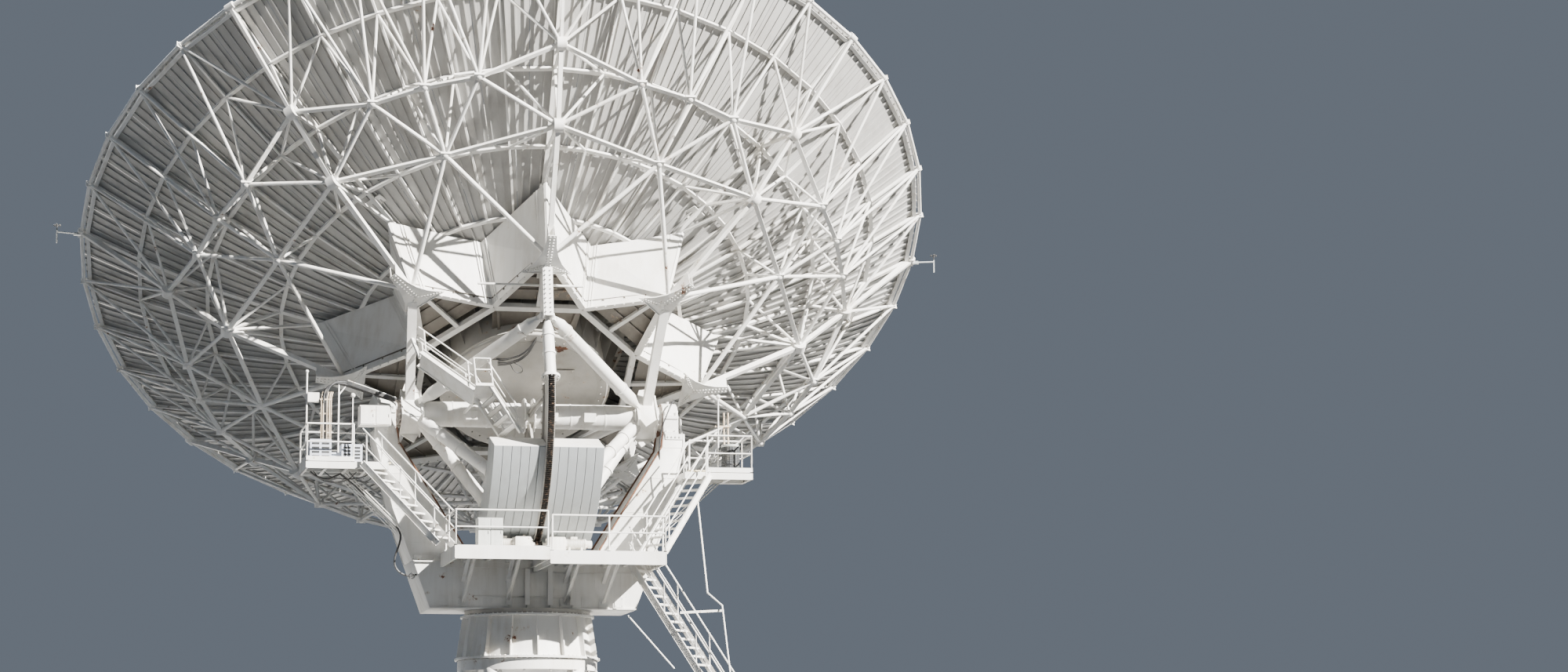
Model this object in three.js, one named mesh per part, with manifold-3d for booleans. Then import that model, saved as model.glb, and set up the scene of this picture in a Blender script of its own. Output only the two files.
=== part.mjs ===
// Radio telescope dish antenna: a tilting dish on a turning yoke, on a fixed three-footed pedestal.
// Millimetres, +Z up. The dish looks towards +Y, and +X is to the right of someone standing behind it.
import * as THREE from "three";
import { mergeVertices } from "three/addons/utils/BufferGeometryUtils.js";
import Module from "manifold-3d";

const wasm = await Module();
wasm.setup();

// Whole object
const AXIS_Y = -3303.5; // azimuth axis, so that the origin is under the middle of the whole outline
const ELEVATION_HEIGHT = 14000; // elevation axis above the ground
const REST_ELEVATION = 54.24; // tilt of the dish in degrees above the horizon
const GAP = 0.3; // between faces of touching pieces
const RUNNING_GAP = 0.5; // between faces that slide past each other
const FINEST = 0.1; // shorter edges than this are closed up

// Dish, measured from the elevation axis along the dish axis
const RIM_RADIUS = 12500;
const RIM_Z = 7070;
const FOCAL_LENGTH = 9000;
const VERTEX_Z = RIM_Z - RIM_RADIUS ** 2 / (4 * FOCAL_LENGTH);
const PANEL_JOINTS = [1200, 2900, 4800, 6900, 9000, 10950, RIM_RADIUS];
const DISH_SIDES = 40; // flats around the dish, one between each pair of rim nodes
const PANEL_THICKNESS = 30;
const PANEL_GAP = 12;

// Back structure: radius and distance along the dish axis
const SECTOR = 45;
const HUB_TIP = [5190, 1280];
const INNER_CORNER = [8460, 3110];
const INNER_MIDDLE = [7860, 2990];
const OUTER_CORNER = [10120, 4630];
const OUTER_MIDDLE = [9720, 3850];
const RIM_NODE = [12600, 6940];
const RIB_END = 12617; // radius of the ribs' ends
const RIB_WIDTH = 200;
const RIB_CHORD = 230;
const BEAM = 130;
const TUBE = 115;
const KNOT = 260;

// Star-shaped hub of deep plates
const STAR_REAR = [5190, 3400];
const STAR_FRONT = [6050, 4150];
const STAR_FRONT_RISE = 250; // of the front edge, from a valley to a tip
const STAR_BEVEL = 3; // of the plates' edges
const STAR_PLATE = 70;
const HUB_JOINT_ANGLE = -15; // the first of the four cuts between its sections
const HUB_REAR_Z = 1280;
const ROOM_RADIUS = 2400;
const ROOM_REAR_Z = 950;
const ROOM_FLANGE = 110; // depth of the ring that carries the inner panels
const ROOM_FLANGE_RADIUS = 3080;

// Elevation gear and counterweight, angles from straight down with the dish at the zenith
const GEAR_RADIUS = 4200;
const GEAR_FACE = 200;
const GEAR_RIM = 110;
const GEAR_WEB = 60;
const GEAR_INNER = 3050;
const GEAR_ANGLES = [-64, 59];
const WEIGHT_RADII = [2950, 4020];
const WEIGHT_ANGLES = [-35, 21];
const WEIGHT_HALF_WIDTH = 1550;
const WEIGHT_STEPS = 14;
const PINION_ANGLE = 64; // below the rear horizontal
const PINION_RADIUS = 130;

// Trunnions and yoke
const AXLE_RADIUS = 360;
const TRUNNION_BOX = [3100, 3700];
const TRUNNION_HALF = 430;
const PIN_RADIUS = 250;
const BORE_CLEARANCE = 5;
const BEARING_X = [3860, 4300];
const YOKE_BOTTOM = 8370;
const BASE_TOP = 9720;
const BASE_HALF_DEPTH = 1100;
const YOKE_OUTER = [[2930, YOKE_BOTTOM], [3416, BASE_TOP], [3950, 11200], [4450, 13200], [4450, 13500]];
const YOKE_INNER = [[3850, 13500], [3800, 13100], [2750, 11400], [1950, 10100], [1858, BASE_TOP + GAP]];
const ARM_DEPTHS = [[970, BASE_TOP], [700, 12400], [560, 13500]];

// Platforms, stairs and rails
const DECK_THICKNESS = 60;
const RAIL_HEIGHT = 970;
const SIDE_RAIL_HEIGHT = 1050;
const RAIL_BAR = 50;
const FASCIA = 370;
const REAR_DECK = {
  left: -2650, middle: -20, right: 3230, rear: -4100, front: -1120, leftZ: 9900, rightZ: 9790,
};
const LEFT_FLOOR = { outer: -6500, rear: -1750, front: 350, z: 12390 };
const RIGHT_FLOOR = { outer: 6180, rear: -1900, front: -560, z: 12270 };
const SIDE_FASCIA = 200; // below the side floors
const TOE_BOARD = 140; // above the side floors
const STAIR_WIDTH = 760;
const STAIR_STRINGER = 180;
const TREAD_RISE = 240;

// Pedestal
const RING_RADIUS = 1790;
const DRUM_TOP = [1750, 8180];
const DRUM_BOTTOM = [1950, 6980];
const FOOT_CIRCLE = 4900;
const LEG_RADIUS = 260;

const deg = THREE.MathUtils.degToRad;
const V = (x, y, z) => new THREE.Vector3(x, y, z);
const surfaceZ = (r) => VERTEX_Z + r ** 2 / (4 * FOCAL_LENGTH);

const paint = new THREE.MeshStandardMaterial({ color: 0xe6e4dd, roughness: 0.55, metalness: 0.1 });
const panelPaint = new THREE.MeshStandardMaterial({ color: 0xeceae4, roughness: 0.5, metalness: 0.1 });
const agedPaint = new THREE.MeshStandardMaterial({ color: 0xd9d5ca, roughness: 0.65, metalness: 0.1 });
const weightPaint = new THREE.MeshStandardMaterial({ color: 0xc9cbcb, roughness: 0.6, metalness: 0.1 });
const greasedSteel = new THREE.MeshStandardMaterial({ color: 0x24211f, roughness: 0.4, metalness: 0.6 });
const galvanised = new THREE.MeshStandardMaterial({ color: 0xb9bcbc, roughness: 0.5, metalness: 0.6 });
const cabinetPaint = new THREE.MeshStandardMaterial({ color: 0xb8bab2, roughness: 0.5, metalness: 0.1 });
const darkGrille = new THREE.MeshStandardMaterial({ color: 0x3a3c3e, roughness: 0.6, metalness: 0.3 });

// Turns a closed geometry into a solid, with its faces pointing out.
function solid(geometry) {
  geometry.deleteAttribute("normal");
  geometry.deleteAttribute("uv");
  const merged = mergeVertices(geometry, 1e-3);
  const points = new Float32Array(merged.attributes.position.array);
  const faces = [];
  let volume = 0;
  const corner = (i) => V(points[3 * i], points[3 * i + 1], points[3 * i + 2]);
  for (let i = 0; i < merged.index.count; i += 3) {
    const [a, b, c] = [0, 1, 2].map((k) => merged.index.getX(i + k));
    if (a === b || b === c || a === c) continue;
    faces.push(a, b, c);
    volume += corner(a).dot(corner(b).cross(corner(c)));
  }
  if (volume < 0) {
    for (let i = 0; i < faces.length; i += 3) [faces[i], faces[i + 1]] = [faces[i + 1], faces[i]];
  }
  const mesh = new wasm.Mesh({ numProp: 3, vertProperties: points, triVerts: new Uint32Array(faces) });
  return new wasm.Manifold(mesh);
}

function geometryOf(body) {
  const mesh = body.getMesh();
  const geometry = new THREE.BufferGeometry();
  geometry.setAttribute("position", new THREE.BufferAttribute(mesh.vertProperties, 3));
  geometry.setIndex(new THREE.BufferAttribute(mesh.triVerts, 1));
  return geometry;
}

const fuse = (...bodies) => wasm.Manifold.union(bodies.flat());

// What is left after a cut, without the offcuts.
function largest(body) {
  return body.decompose().reduce((best, piece) => (piece.volume() > best.volume() ? piece : best));
}

function box(x0, x1, y0, y1, z0, z1) {
  const geometry = new THREE.BoxGeometry(x1 - x0, y1 - y0, z1 - z0);
  return solid(geometry.translate((x0 + x1) / 2, (y0 + y1) / 2, (z0 + z1) / 2));
}

// Places an extrusion so that its shape's x and y run along two axes and its depth along their cross product.
function extrude(points, depth, right, up, origin) {
  const shape = new THREE.Shape(points.map((p) => new THREE.Vector2(p[0], p[1])));
  const geometry = new THREE.ExtrudeGeometry(shape, { depth, bevelEnabled: false });
  const along = new THREE.Vector3().crossVectors(right, up);
  const place = new THREE.Matrix4().makeBasis(right, up, along).setPosition(origin);
  return solid(geometry.applyMatrix4(place));
}

// An outline in X and Z, from y0 to y1.
function slabXZ(points, y0, y1) {
  return extrude(points, y1 - y0, V(1, 0, 0), V(0, 0, 1), V(0, y1, 0));
}

// An outline in Y and Z, from x0 to x1.
function slabYZ(points, x0, x1) {
  return extrude(points, x1 - x0, V(0, 1, 0), V(0, 0, 1), V(x0, 0, 0));
}

function polygon(sides, radius, turn = 0) {
  return Array.from({ length: sides }, (_, i) => {
    const angle = turn + (2 * Math.PI * i) / sides;
    return [radius * Math.cos(angle), radius * Math.sin(angle)];
  });
}

// A straight bar from a to b: its outline's first axis lies as near as it can to the given side direction.
function bar(a, b, outline, over = 0, side = V(0, 0, 1)) {
  const along = b.clone().sub(a).normalize();
  const start = a.clone().addScaledVector(along, -over);
  const length = a.distanceTo(b) + 2 * over;
  const guide = Math.abs(along.dot(side)) > 0.97 ? V(1, 0, 0) : side;
  const right = guide.clone().addScaledVector(along, -guide.dot(along)).normalize();
  const up = new THREE.Vector3().crossVectors(along, right);
  return extrude(outline, length, right, up, start);
}

const rectangle = (w, h) => [[-w / 2, -h / 2], [w / 2, -h / 2], [w / 2, h / 2], [-w / 2, h / 2]];
const square = (size) => rectangle(size, size);
const beam = (a, b, size) => bar(a, b, square(size));
const tube = (a, b, radius, over = 0, sides = 8) => bar(a, b, polygon(sides, radius, Math.PI / sides), over);
const rod = (a, b, size) => bar(a, b, square(size), size / 2);

// A bar that bends at each point of a line, closed at both ends.
function sweep(points, outline) {
  const loops = points.map((p, i) => {
    const before = points[Math.max(i - 1, 0)];
    const after = points[Math.min(i + 1, points.length - 1)];
    const along = after.clone().sub(before).normalize();
    const right = V(0, 0, 1).addScaledVector(along, -along.z).normalize();
    const up = new THREE.Vector3().crossVectors(along, right);
    return outline.map(([x, y]) => p.clone().addScaledVector(right, x).addScaledVector(up, y));
  });
  return skin(loops);
}

// A body of revolution about Z from [radius, z] points.
function turned(points, segments) {
  const profile = points.map((p) => new THREE.Vector2(p[0], p[1]));
  const geometry = new THREE.LatheGeometry([...profile, profile[0]], segments);
  return solid(geometry.rotateX(Math.PI / 2));
}

// Joins equal-sized loops of points into a closed body. The first and last loop are capped from
// their middles, or joined to each other to close a ring.
function skin(loops, ring = false) {
  const count = loops[0].length;
  const middle = (loop) => loop.reduce((sum, p) => sum.add(p), V(0, 0, 0)).divideScalar(count);
  const points = loops.flat();
  const faces = [];
  const spans = ring ? loops.length : loops.length - 1;
  for (let k = 0; k < spans; k += 1) {
    const [a, b] = [k * count, ((k + 1) % loops.length) * count];
    for (let i = 0; i < count; i += 1) {
      const j = (i + 1) % count;
      faces.push(a + i, a + j, b + j, a + i, b + j, b + i);
    }
  }
  if (!ring) {
    const last = (loops.length - 1) * count;
    points.push(middle(loops[0]), middle(loops[loops.length - 1]));
    for (let i = 0; i < count; i += 1) {
      const j = (i + 1) % count;
      faces.push(j, i, points.length - 2, last + i, last + j, points.length - 1);
    }
  }
  const geometry = new THREE.BufferGeometry().setFromPoints(points);
  geometry.setIndex(faces);
  return solid(geometry);
}

const root = new THREE.Group();
root.position.set(0, AXIS_Y, 0);
const pedestal = new THREE.Group();
const yoke = new THREE.Group();
const reflector = new THREE.Group();
reflector.position.z = ELEVATION_HEIGHT;
reflector.rotation.x = deg(REST_ELEVATION - 90);
root.add(pedestal, yoke, reflector);

function add(group, name, body, material) {
  const mesh = new THREE.Mesh(geometryOf(body.simplify(FINEST)), material);
  mesh.name = name;
  group.add(mesh);
  return mesh;
}

// A point of the dish: angle 90 is its upper edge when the dish is lowered towards the horizon.
function dishPoint([radius, z], angle) {
  return V(radius * Math.cos(deg(angle)), -radius * Math.sin(deg(angle)), z);
}

// A point on a circle about the elevation axis, its angle from straight down with the dish at the zenith.
const arcPoint = (radius, angle, x = 0) => V(x, radius * Math.sin(deg(angle)), -radius * Math.cos(deg(angle)));

// A slice of a ring about the elevation axis.
function ringSlice([inner, outer], [from, to], x0, x1, steps) {
  const side = (radius, reverse) => Array.from({ length: steps + 1 }, (_, i) => {
    const share = (reverse ? steps - i : i) / steps;
    const p = arcPoint(radius, from + (to - from) * share);
    return [p.y, p.z];
  });
  return slabYZ([...side(outer, false), ...side(inner, true)], x0, x1);
}

// Surface panels
function panelRing(index) {
  const [inner, outer] = [PANEL_JOINTS[index] + PANEL_GAP / 2, PANEL_JOINTS[index + 1] - PANEL_GAP / 2];
  const back = (radius) => [radius, panelBack(radius) + 2 * GAP];
  const front = (radius) => [radius, panelBack(radius) + 2 * GAP + PANEL_THICKNESS];
  const profile = [back(inner), back(outer), front(outer), front(inner)];
  return turned(profile, DISH_SIDES);
}

function makePanels() {
  PANEL_JOINTS.slice(1).forEach((_, i) => add(reflector, `panel_ring_${i + 1}`, panelRing(i), panelPaint));
}

// The height of the panels' backs, which are straight between their joints.
function panelBack(radius) {
  const i = Math.min(PANEL_JOINTS.findLastIndex((joint) => joint <= radius), PANEL_JOINTS.length - 2);
  const [a, b] = [PANEL_JOINTS[Math.max(i, 0)], PANEL_JOINTS[Math.max(i, 0) + 1]];
  const share = (radius - a) / (b - a);
  return surfaceZ(a) + (surfaceZ(b) - surfaceZ(a)) * share - PANEL_THICKNESS - 2 * GAP;
}

// Star-shaped hub
function starLoop([tip, valley], [tipZ, valleyZ], grow) {
  return Array.from({ length: 16 }, (_, i) => {
    const atTip = i % 2 === 0;
    return dishPoint([(atTip ? tip : valley) + grow, atTip ? tipZ : valleyZ], i * 22.5);
  });
}

// The rear and front edges of the plates. The front edges carry the panels at the valleys.
function starEdges(grow, overhang = 0) {
  const seatRadius = (STAR_FRONT[1] - STAR_PLATE) / Math.cos(Math.PI / DISH_SIDES);
  const valleyZ = panelBack(seatRadius) + STAR_BEVEL + GAP + overhang;
  const rearZ = HUB_REAR_Z - overhang;
  const tipZ = valleyZ + STAR_FRONT_RISE;
  return [starLoop(STAR_REAR, [rearZ, rearZ], grow), starLoop(STAR_FRONT, [tipZ, valleyZ], grow)];
}

const hubSpace = skin(starEdges(0.8, GAP));

function makeHub() {
  const walls = skin([...starEdges(0), ...starEdges(-STAR_PLATE, -STAR_BEVEL).reverse()], true);
  for (let i = 0; i < 4; i += 1) {
    const start = 90 * i + HUB_JOINT_ANGLE;
    const quarter = [start, start + 90].reduce((body, angle) => {
      return body.trimByPlane(dishPoint([1, 0], angle).toArray(), GAP / 2);
    }, walls);
    add(reflector, `hub_section_${i + 1}`, quarter, paint);
  }
  const [mouth, joint] = PANEL_JOINTS;
  const seat = (radius, drop = 0) => [radius, panelBack(radius) - drop];
  const room = turned([[0, ROOM_REAR_Z], [ROOM_RADIUS, ROOM_REAR_Z], seat(ROOM_RADIUS, ROOM_FLANGE),
    seat(ROOM_FLANGE_RADIUS, ROOM_FLANGE), seat(ROOM_FLANGE_RADIUS), seat(joint), seat(mouth),
    [0, panelBack(mouth)]], DISH_SIDES);
  add(reflector, "vertex_room", room, agedPaint);
}

// Back structure: main ribs, and the lattice between one rib and the next
// A flat truss: a plate outline with a triangular opening in each bay.
function mainRib() {
  const front = [STAR_FRONT[0], ...PANEL_JOINTS.slice(3)].map((radius) => [radius, panelBack(radius)]);
  const [f6, f7, f9, f11, f12] = front;
  const below = ([r, z], drop) => [r, z - drop];
  const outline = [below(HUB_TIP, RIB_CHORD / 2), below(INNER_CORNER, RIB_CHORD / 2),
    below(OUTER_CORNER, RIB_CHORD / 2), [RIB_END, RIM_NODE[1] - 100], [RIB_END, RIM_NODE[1] + 40],
    f12, f11, f9, f7, f6];
  const shape = new THREE.Shape(outline.map((p) => new THREE.Vector2(...p)));
  const bays = [[HUB_TIP, INNER_CORNER, f6], [INNER_CORNER, f9, f7, f6], [INNER_CORNER, OUTER_CORNER, f9],
    [OUTER_CORNER, f11, f9], [OUTER_CORNER, RIM_NODE, f12, f11]];
  shape.holes = bays.map((bay) => new THREE.Path(inset(bay, RIB_CHORD / 2).map((p) => new THREE.Vector2(...p))));
  const geometry = new THREE.ExtrudeGeometry(shape, { depth: RIB_WIDTH, bevelEnabled: false });
  const place = new THREE.Matrix4().makeBasis(V(1, 0, 0), V(0, 0, 1), V(0, -1, 0)).setPosition(0, RIB_WIDTH / 2, 0);
  return solid(geometry.applyMatrix4(place));
}

// The same outline with each edge moved inwards, for an outline that runs anticlockwise.
function inset(points, distance) {
  const count = points.length;
  const edges = points.map((p, i) => {
    const q = points[(i + 1) % count];
    const length = Math.hypot(q[0] - p[0], q[1] - p[1]);
    const normal = [-(q[1] - p[1]) / length, (q[0] - p[0]) / length];
    return { normal, offset: normal[0] * p[0] + normal[1] * p[1] + distance };
  });
  return edges.map((edge, i) => {
    const last = edges[(i + count - 1) % count];
    const det = last.normal[0] * edge.normal[1] - last.normal[1] * edge.normal[0];
    return [
      (last.offset * edge.normal[1] - edge.offset * last.normal[1]) / det,
      (last.normal[0] * edge.offset - edge.normal[0] * last.offset) / det,
    ];
  });
}

function sectorLattice() {
  const at = dishPoint;
  const middles = [13.5, 22.5, 31.5].map((angle) => [OUTER_MIDDLE, angle]);
  const outer = [[OUTER_CORNER, 0], ...middles, [OUTER_CORNER, SECTOR]];
  const outerNodes = outer.map(([node, angle]) => at(node, angle));
  const innerNodes = [at(INNER_CORNER, 0), at(INNER_MIDDLE, 22.5), at(INNER_CORNER, 45)];
  const rim = Array.from({ length: 6 }, (_, i) => at(RIM_NODE, 9 * i));
  const hub = [at(HUB_TIP, 0), at(HUB_TIP, SECTOR)];
  const knot = (node) => solid(new THREE.IcosahedronGeometry(KNOT).translate(node.x, node.y, node.z));
  const chains = [outerNodes, innerNodes, rim].map((nodes) => sweep(nodes, polygon(3, BEAM / 2)));
  const bars = [];
  const brace = (a, b) => {
    const outline = polygon(3, TUBE / 2, 0.4 * bars.length);
    bars.push(bar(a, b, outline, 6 * (bars.length % 4)));
  };
  outerNodes.forEach((node, i) => {
    if (i < 4) brace(node, rim[i + 1]);
    if (i > 0) brace(node, rim[i]);
  });
  [1, 2, 3].forEach((i) => brace(innerNodes[1], outerNodes[i]));
  brace(innerNodes[0], outerNodes[1]);
  brace(innerNodes[2], outerNodes[3]);
  hub.forEach((tip) => brace(innerNodes[1], tip));
  const knots = [...outerNodes.slice(1, 4), innerNodes[1]].map(knot);
  return fuse(chains, bars, knots);
}

function makeBackStructure() {
  const ownRib = V(0, -1, 0);
  const nextRib = dishPoint([1, 0], SECTOR - 90);
  const lattice = sectorLattice()
    .trimByPlane(ownRib.toArray(), RIB_WIDTH / 2 + GAP)
    .trimByPlane(nextRib.toArray(), RIB_WIDTH / 2 + GAP)
    .subtract(hubSpace);
  const rib = mainRib().subtract(hubSpace);
  for (let i = 0; i < 8; i += 1) {
    add(reflector, `back_rib_${i + 1}`, rib, paint).rotation.z = -deg(SECTOR * i);
    add(reflector, `back_lattice_${i + 1}`, lattice, paint).rotation.z = -deg(SECTOR * i);
  }
}

// Trunnion frames: bearing box with its pin, box column to the hub, tube to the hub and counterweight tubes
function trunnionFrame(side, grow = 0) {
  const at = (x, u, a) => V(side * x, -u, a);
  const [x0, x1] = TRUNNION_BOX.map((x) => side * x).sort((a, b) => a - b);
  const block = box(x0, x1, -TRUNNION_HALF, TRUNNION_HALF, -TRUNNION_HALF, TRUNNION_HALF);
  const collar = tube(at(3690, 0, 0), at(BEARING_X[0] - RUNNING_GAP, 0, 0), 340, 0, 16);
  const pin = tube(at(3690, 0, 0), at(BEARING_X[1] - 20, 0, 0), PIN_RADIUS, 0, 24);
  const column = bar(at(3430, 200, 150), at(3640, 3700, 1400), rectangle(260 + 2 * grow, 220 + 2 * grow));
  const hubTube = tube(at(3150, -150, 150), at(1350, -3250, 1500), 130);
  const upperTube = tube(at(3200, 0, -150), at(...weightEnd(-14)), 180);
  const lowerTube = tube(at(3200, 0, -150), at(...weightEnd(12)), 180);
  const frame = fuse(block, collar, pin, column, hubTube, upperTube, lowerTube)
    .subtract(hubSpace)
    .subtract(ringSlice([WEIGHT_RADII[0] - 2 * GAP, WEIGHT_RADII[1]], WEIGHT_ANGLES, -2000, 2000, WEIGHT_STEPS))
    .subtract(axleBody(TRUNNION_BOX[0], GAP))
    .trimByPlane([-side * Math.SQRT1_2, Math.SQRT1_2, 0], 130 - HUB_TIP[0]);
  return largest(frame);
}

// The axle tube from one side to the other, or the room it needs.
function axleBody(half, grow = 0) {
  return tube(V(-half, 0, 0), V(half, 0, 0), AXLE_RADIUS + grow, 0, 20);
}

function weightEnd(angle) {
  const p = arcPoint(WEIGHT_RADII[0] + 150, angle);
  return [1280, -p.y, p.z];
}

function makeElevationParts() {
  add(reflector, "trunnion_frame_left", trunnionFrame(-1), paint);
  add(reflector, "trunnion_frame_right", trunnionFrame(1), paint);
  add(reflector, "elevation_axle", axleBody(TRUNNION_BOX[0] - GAP), paint);
  makeGear();
  makeCounterweight();
  makeApexFrame();
}

function makeGear() {
  const web = ringSlice([GEAR_INNER, GEAR_RADIUS - 50], GEAR_ANGLES, -GEAR_WEB / 2, GEAR_WEB / 2, 20);
  const toothed = [GEAR_ANGLES[0] + 0.3, GEAR_ANGLES[1] - 0.3];
  const rim = ringSlice([GEAR_RADIUS - GEAR_RIM, GEAR_RADIUS], toothed, -GEAR_FACE / 2, GEAR_FACE / 2, 40);
  const spokes = [-58, 0, 58].map((angle) => {
    return bar(arcPoint(300, angle), arcPoint(GEAR_INNER + 200, angle), rectangle(44, 260), 0, V(1, 0, 0));
  });
  add(reflector, "sector_gear", fuse(web, rim, spokes).subtract(axleBody(500, GAP)), greasedSteel);
}

function makeCounterweight() {
  const inner = GEAR_WEB / 2 + GAP;
  const weight = (side) => {
    const span = [side * inner, side * WEIGHT_HALF_WIDTH].sort((a, b) => a - b);
    return ringSlice(WEIGHT_RADII, WEIGHT_ANGLES, ...span, WEIGHT_STEPS);
  };
  add(reflector, "counterweight_left", weight(-1), weightPaint);
  add(reflector, "counterweight_right", weight(1), weightPaint);
}

function makeApexFrame() {
  const apex = V(0, -4050, 50);
  const bracket = slabYZ([[-5100, 1400], [-4300, 1400], [-3850, 0], [-4250, -150]], -110, 110);
  const gearEnd = arcPoint(GEAR_RADIUS - 260, GEAR_ANGLES[0] + 1);
  const post = tube(apex, gearEnd.setX(0), 165, 100);
  const legs = [-1, 1].map((side) => tube(apex, V(side * 3300, -300, 60), 185, 60));
  const boxes = [-1, 1].map((side) => {
    const [x0, x1] = [side * (TRUNNION_BOX[0] - GAP), side * 4200].sort((a, b) => a - b);
    return box(x0, x1, -900, 900, -900, 900);
  });
  const gear = ringSlice([GEAR_INNER - 100, GEAR_RADIUS + 200], [GEAR_ANGLES[0] - 0.004, 62], -400, 400, 31);
  const frame = fuse(bracket, post, ...legs)
    .subtract(hubSpace)
    .subtract(fuse(boxes))
    .subtract(gear)
    .subtract(axleBody(TRUNNION_BOX[0], GAP));
  add(reflector, "apex_frame", frame, paint);
}

// Feed, quadrupod and subreflector on the dish's front
function makeFeed() {
  const feedTop = 5600;
  const feedBase = panelBack(PANEL_JOINTS[0]) + GAP;
  const tower = turned([[0, feedBase], [1000, feedBase], [850, feedTop], [0, feedTop]], 16);
  add(reflector, "feed_tower", tower, paint);
  const headZ = 11700;
  const legs = [45, 135, 225, 315].map((angle) => {
    return bar(dishPoint([6400, 3500], angle), dishPoint([520, headZ + 200], angle), rectangle(320, 130));
  });
  const head = turned([[0, headZ], [760, headZ], [760, headZ + 900], [450, headZ + 1300], [0, headZ + 1300]], 12);
  add(reflector, "quadrupod", fuse(head, ...legs).subtract(panelSolid(0.4)), paint);
  const mirrorZ = 10100;
  const mirror = turned([[0, mirrorZ], [700, mirrorZ + 110], [1150, mirrorZ + 290], [1150, mirrorZ + 350],
    [300, mirrorZ + 450], [300, headZ - GAP], [0, headZ - GAP]], 20);
  add(reflector, "subreflector", mirror, panelPaint);
}

// Everything behind the reflecting surface, so that what stands on it starts there.
function panelSolid(above) {
  const front = PANEL_JOINTS.slice(2, 5).map((radius) => [radius, surfaceZ(radius) + above]);
  return turned([[4800, 2000], [9000, 2000], ...front.reverse()], DISH_SIDES);
}

function makeAnemometers() {
  [-1, 1].forEach((side) => {
    const foot = V(side * RIB_END, 0, RIM_NODE[1] - 58);
    const tip = V(side * 13300, -60, RIM_NODE[1] - 58);
    const up = V(0, -0.584, 0.811);
    const [low, mast, cup] = [-330, 130, 210].map((height) => tip.clone().addScaledVector(up, height));
    const arm = fuse(rod(foot, tip, 50), rod(low, mast, 50), tube(mast, cup, 110, 20));
    const end = RIB_END + GAP;
    const rimBlock = box(-end, end, -400, 400, RIM_NODE[1] - 400, RIM_NODE[1] + 400);
    add(reflector, `anemometer_${side < 0 ? "left" : "right"}`, arm.subtract(rimBlock), galvanised);
  });
}

// Stairs and rails
// A flight between two points at the middle of its width, with treads, stringers and hand rails.
function flight(top, bottom, width = STAIR_WIDTH) {
  const run = V(bottom.x - top.x, bottom.y - top.y, 0).normalize();
  const across = V(-run.y, run.x, 0).multiplyScalar(width / 2);
  const shape = rectangle(STAIR_STRINGER, 40);
  const up = V(0, 0, 1);
  const pieces = [];
  const count = Math.round((top.z - bottom.z) / TREAD_RISE);
  [-1, 1].forEach((side) => {
    const a = top.clone().addScaledVector(across, side);
    const b = bottom.clone().addScaledVector(across, side);
    pieces.push(bar(a, b, shape, 0, up));
    const high = V(0, 0, RAIL_HEIGHT);
    const posts = Math.max(2, Math.round(a.distanceTo(b) / 3200) + 1);
    pieces.push(bar(a.clone().add(high), b.clone().add(high), square(RAIL_BAR), RAIL_BAR / 2));
    for (let i = 0; i < posts; i += 1) {
      const foot = a.clone().lerp(b, (i + 0.12) / (posts - 0.76));
      pieces.push(bar(foot, foot.clone().add(high), square(RAIL_BAR * 0.8)));
    }
  });
  for (let i = 1; i < count; i += 1) {
    const middle = top.clone().lerp(bottom, i / count);
    const reach = across.clone().setLength(width / 2 - 10);
    pieces.push(bar(middle.clone().sub(reach), middle.clone().add(reach), rectangle(30, 150), 0, up));
  }
  return fuse(pieces);
}

// Posts with a top and a middle rail along a line of corners, standing on a floor.
function railing(corners, floorZ, height = RAIL_HEIGHT, spacing = 1700) {
  const pieces = [];
  const at = ([x, y], z) => V(x, y, floorZ + z);
  corners.slice(1).forEach((end, i) => {
    const start = corners[i];
    const posts = Math.max(1, Math.round(at(start, 0).distanceTo(at(end, 0)) / spacing));
    pieces.push(rod(at(start, height), at(end, height), RAIL_BAR));
    pieces.push(rod(at(start, height / 2), at(end, height / 2), 40));
    for (let k = i === 0 ? 0 : 1; k <= posts; k += 1) {
      const foot = at(start, 0).lerp(at(end, 0), k / posts);
      pieces.push(rod(foot.clone().setZ(floorZ - 40), foot.setZ(floorZ + height), RAIL_BAR));
    }
  });
  return pieces;
}

// Steep stair from the left trunnion to the counterweight, level when the dish looks straight up
function makeHubStair() {
  const landingZ = -1330;
  const top = V(-3350, -2200, 80);
  const upper = flight(top, V(-1925, top.y, landingZ - 20), 500);
  const lower = flight(V(-1700, -2400, landingZ - 25), V(-880, -1860, -2620), 600);
  const landing = box(-1950, -1450, -2730, -1940, landingZ - 60, landingZ);
  const hanger = beam(top, V(-3560, -2250, 900), 80);
  const braces = [[-1900, -1900], [-1500, -900]].map(([x, axleX]) => {
    return beam(V(x, -1980, landingZ - 40), V(axleX, 0, 0), 60);
  });
  const [inner, outer] = WEIGHT_RADII;
  const weight = ringSlice([inner - 2 * GAP, outer], [WEIGHT_ANGLES[0] - 0.02, 0], -2000, 0, 10);
  const body = fuse(upper, lower, landing, hanger, ...braces)
    .subtract(weight)
    .subtract(axleBody(TRUNNION_BOX[0], GAP))
    .subtract(trunnionFrame(-1, GAP));
  add(reflector, "hub_stair", largest(body), paint);
}

// Yoke
const mirrored = (points, side) => points.map(([x, z]) => [side * x, z]);

function armBody(side, grow = 0) {
  const outer = YOKE_OUTER.slice(1).map(([x, z], i) => [x + grow, i === 0 ? z + GAP : z]);
  const outline = mirrored([...outer, ...YOKE_INNER], side);
  const depths = ARM_DEPTHS.map(([y, z]) => [y + grow, z]);
  const profile = [...depths, ...depths.map(([y, z]) => [-y, z]).reverse()];
  profile[profile.length - 1][1] -= 1;
  return slabXZ(outline, -1300, 1300).intersect(slabYZ(profile, -5000, 5000));
}

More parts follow.
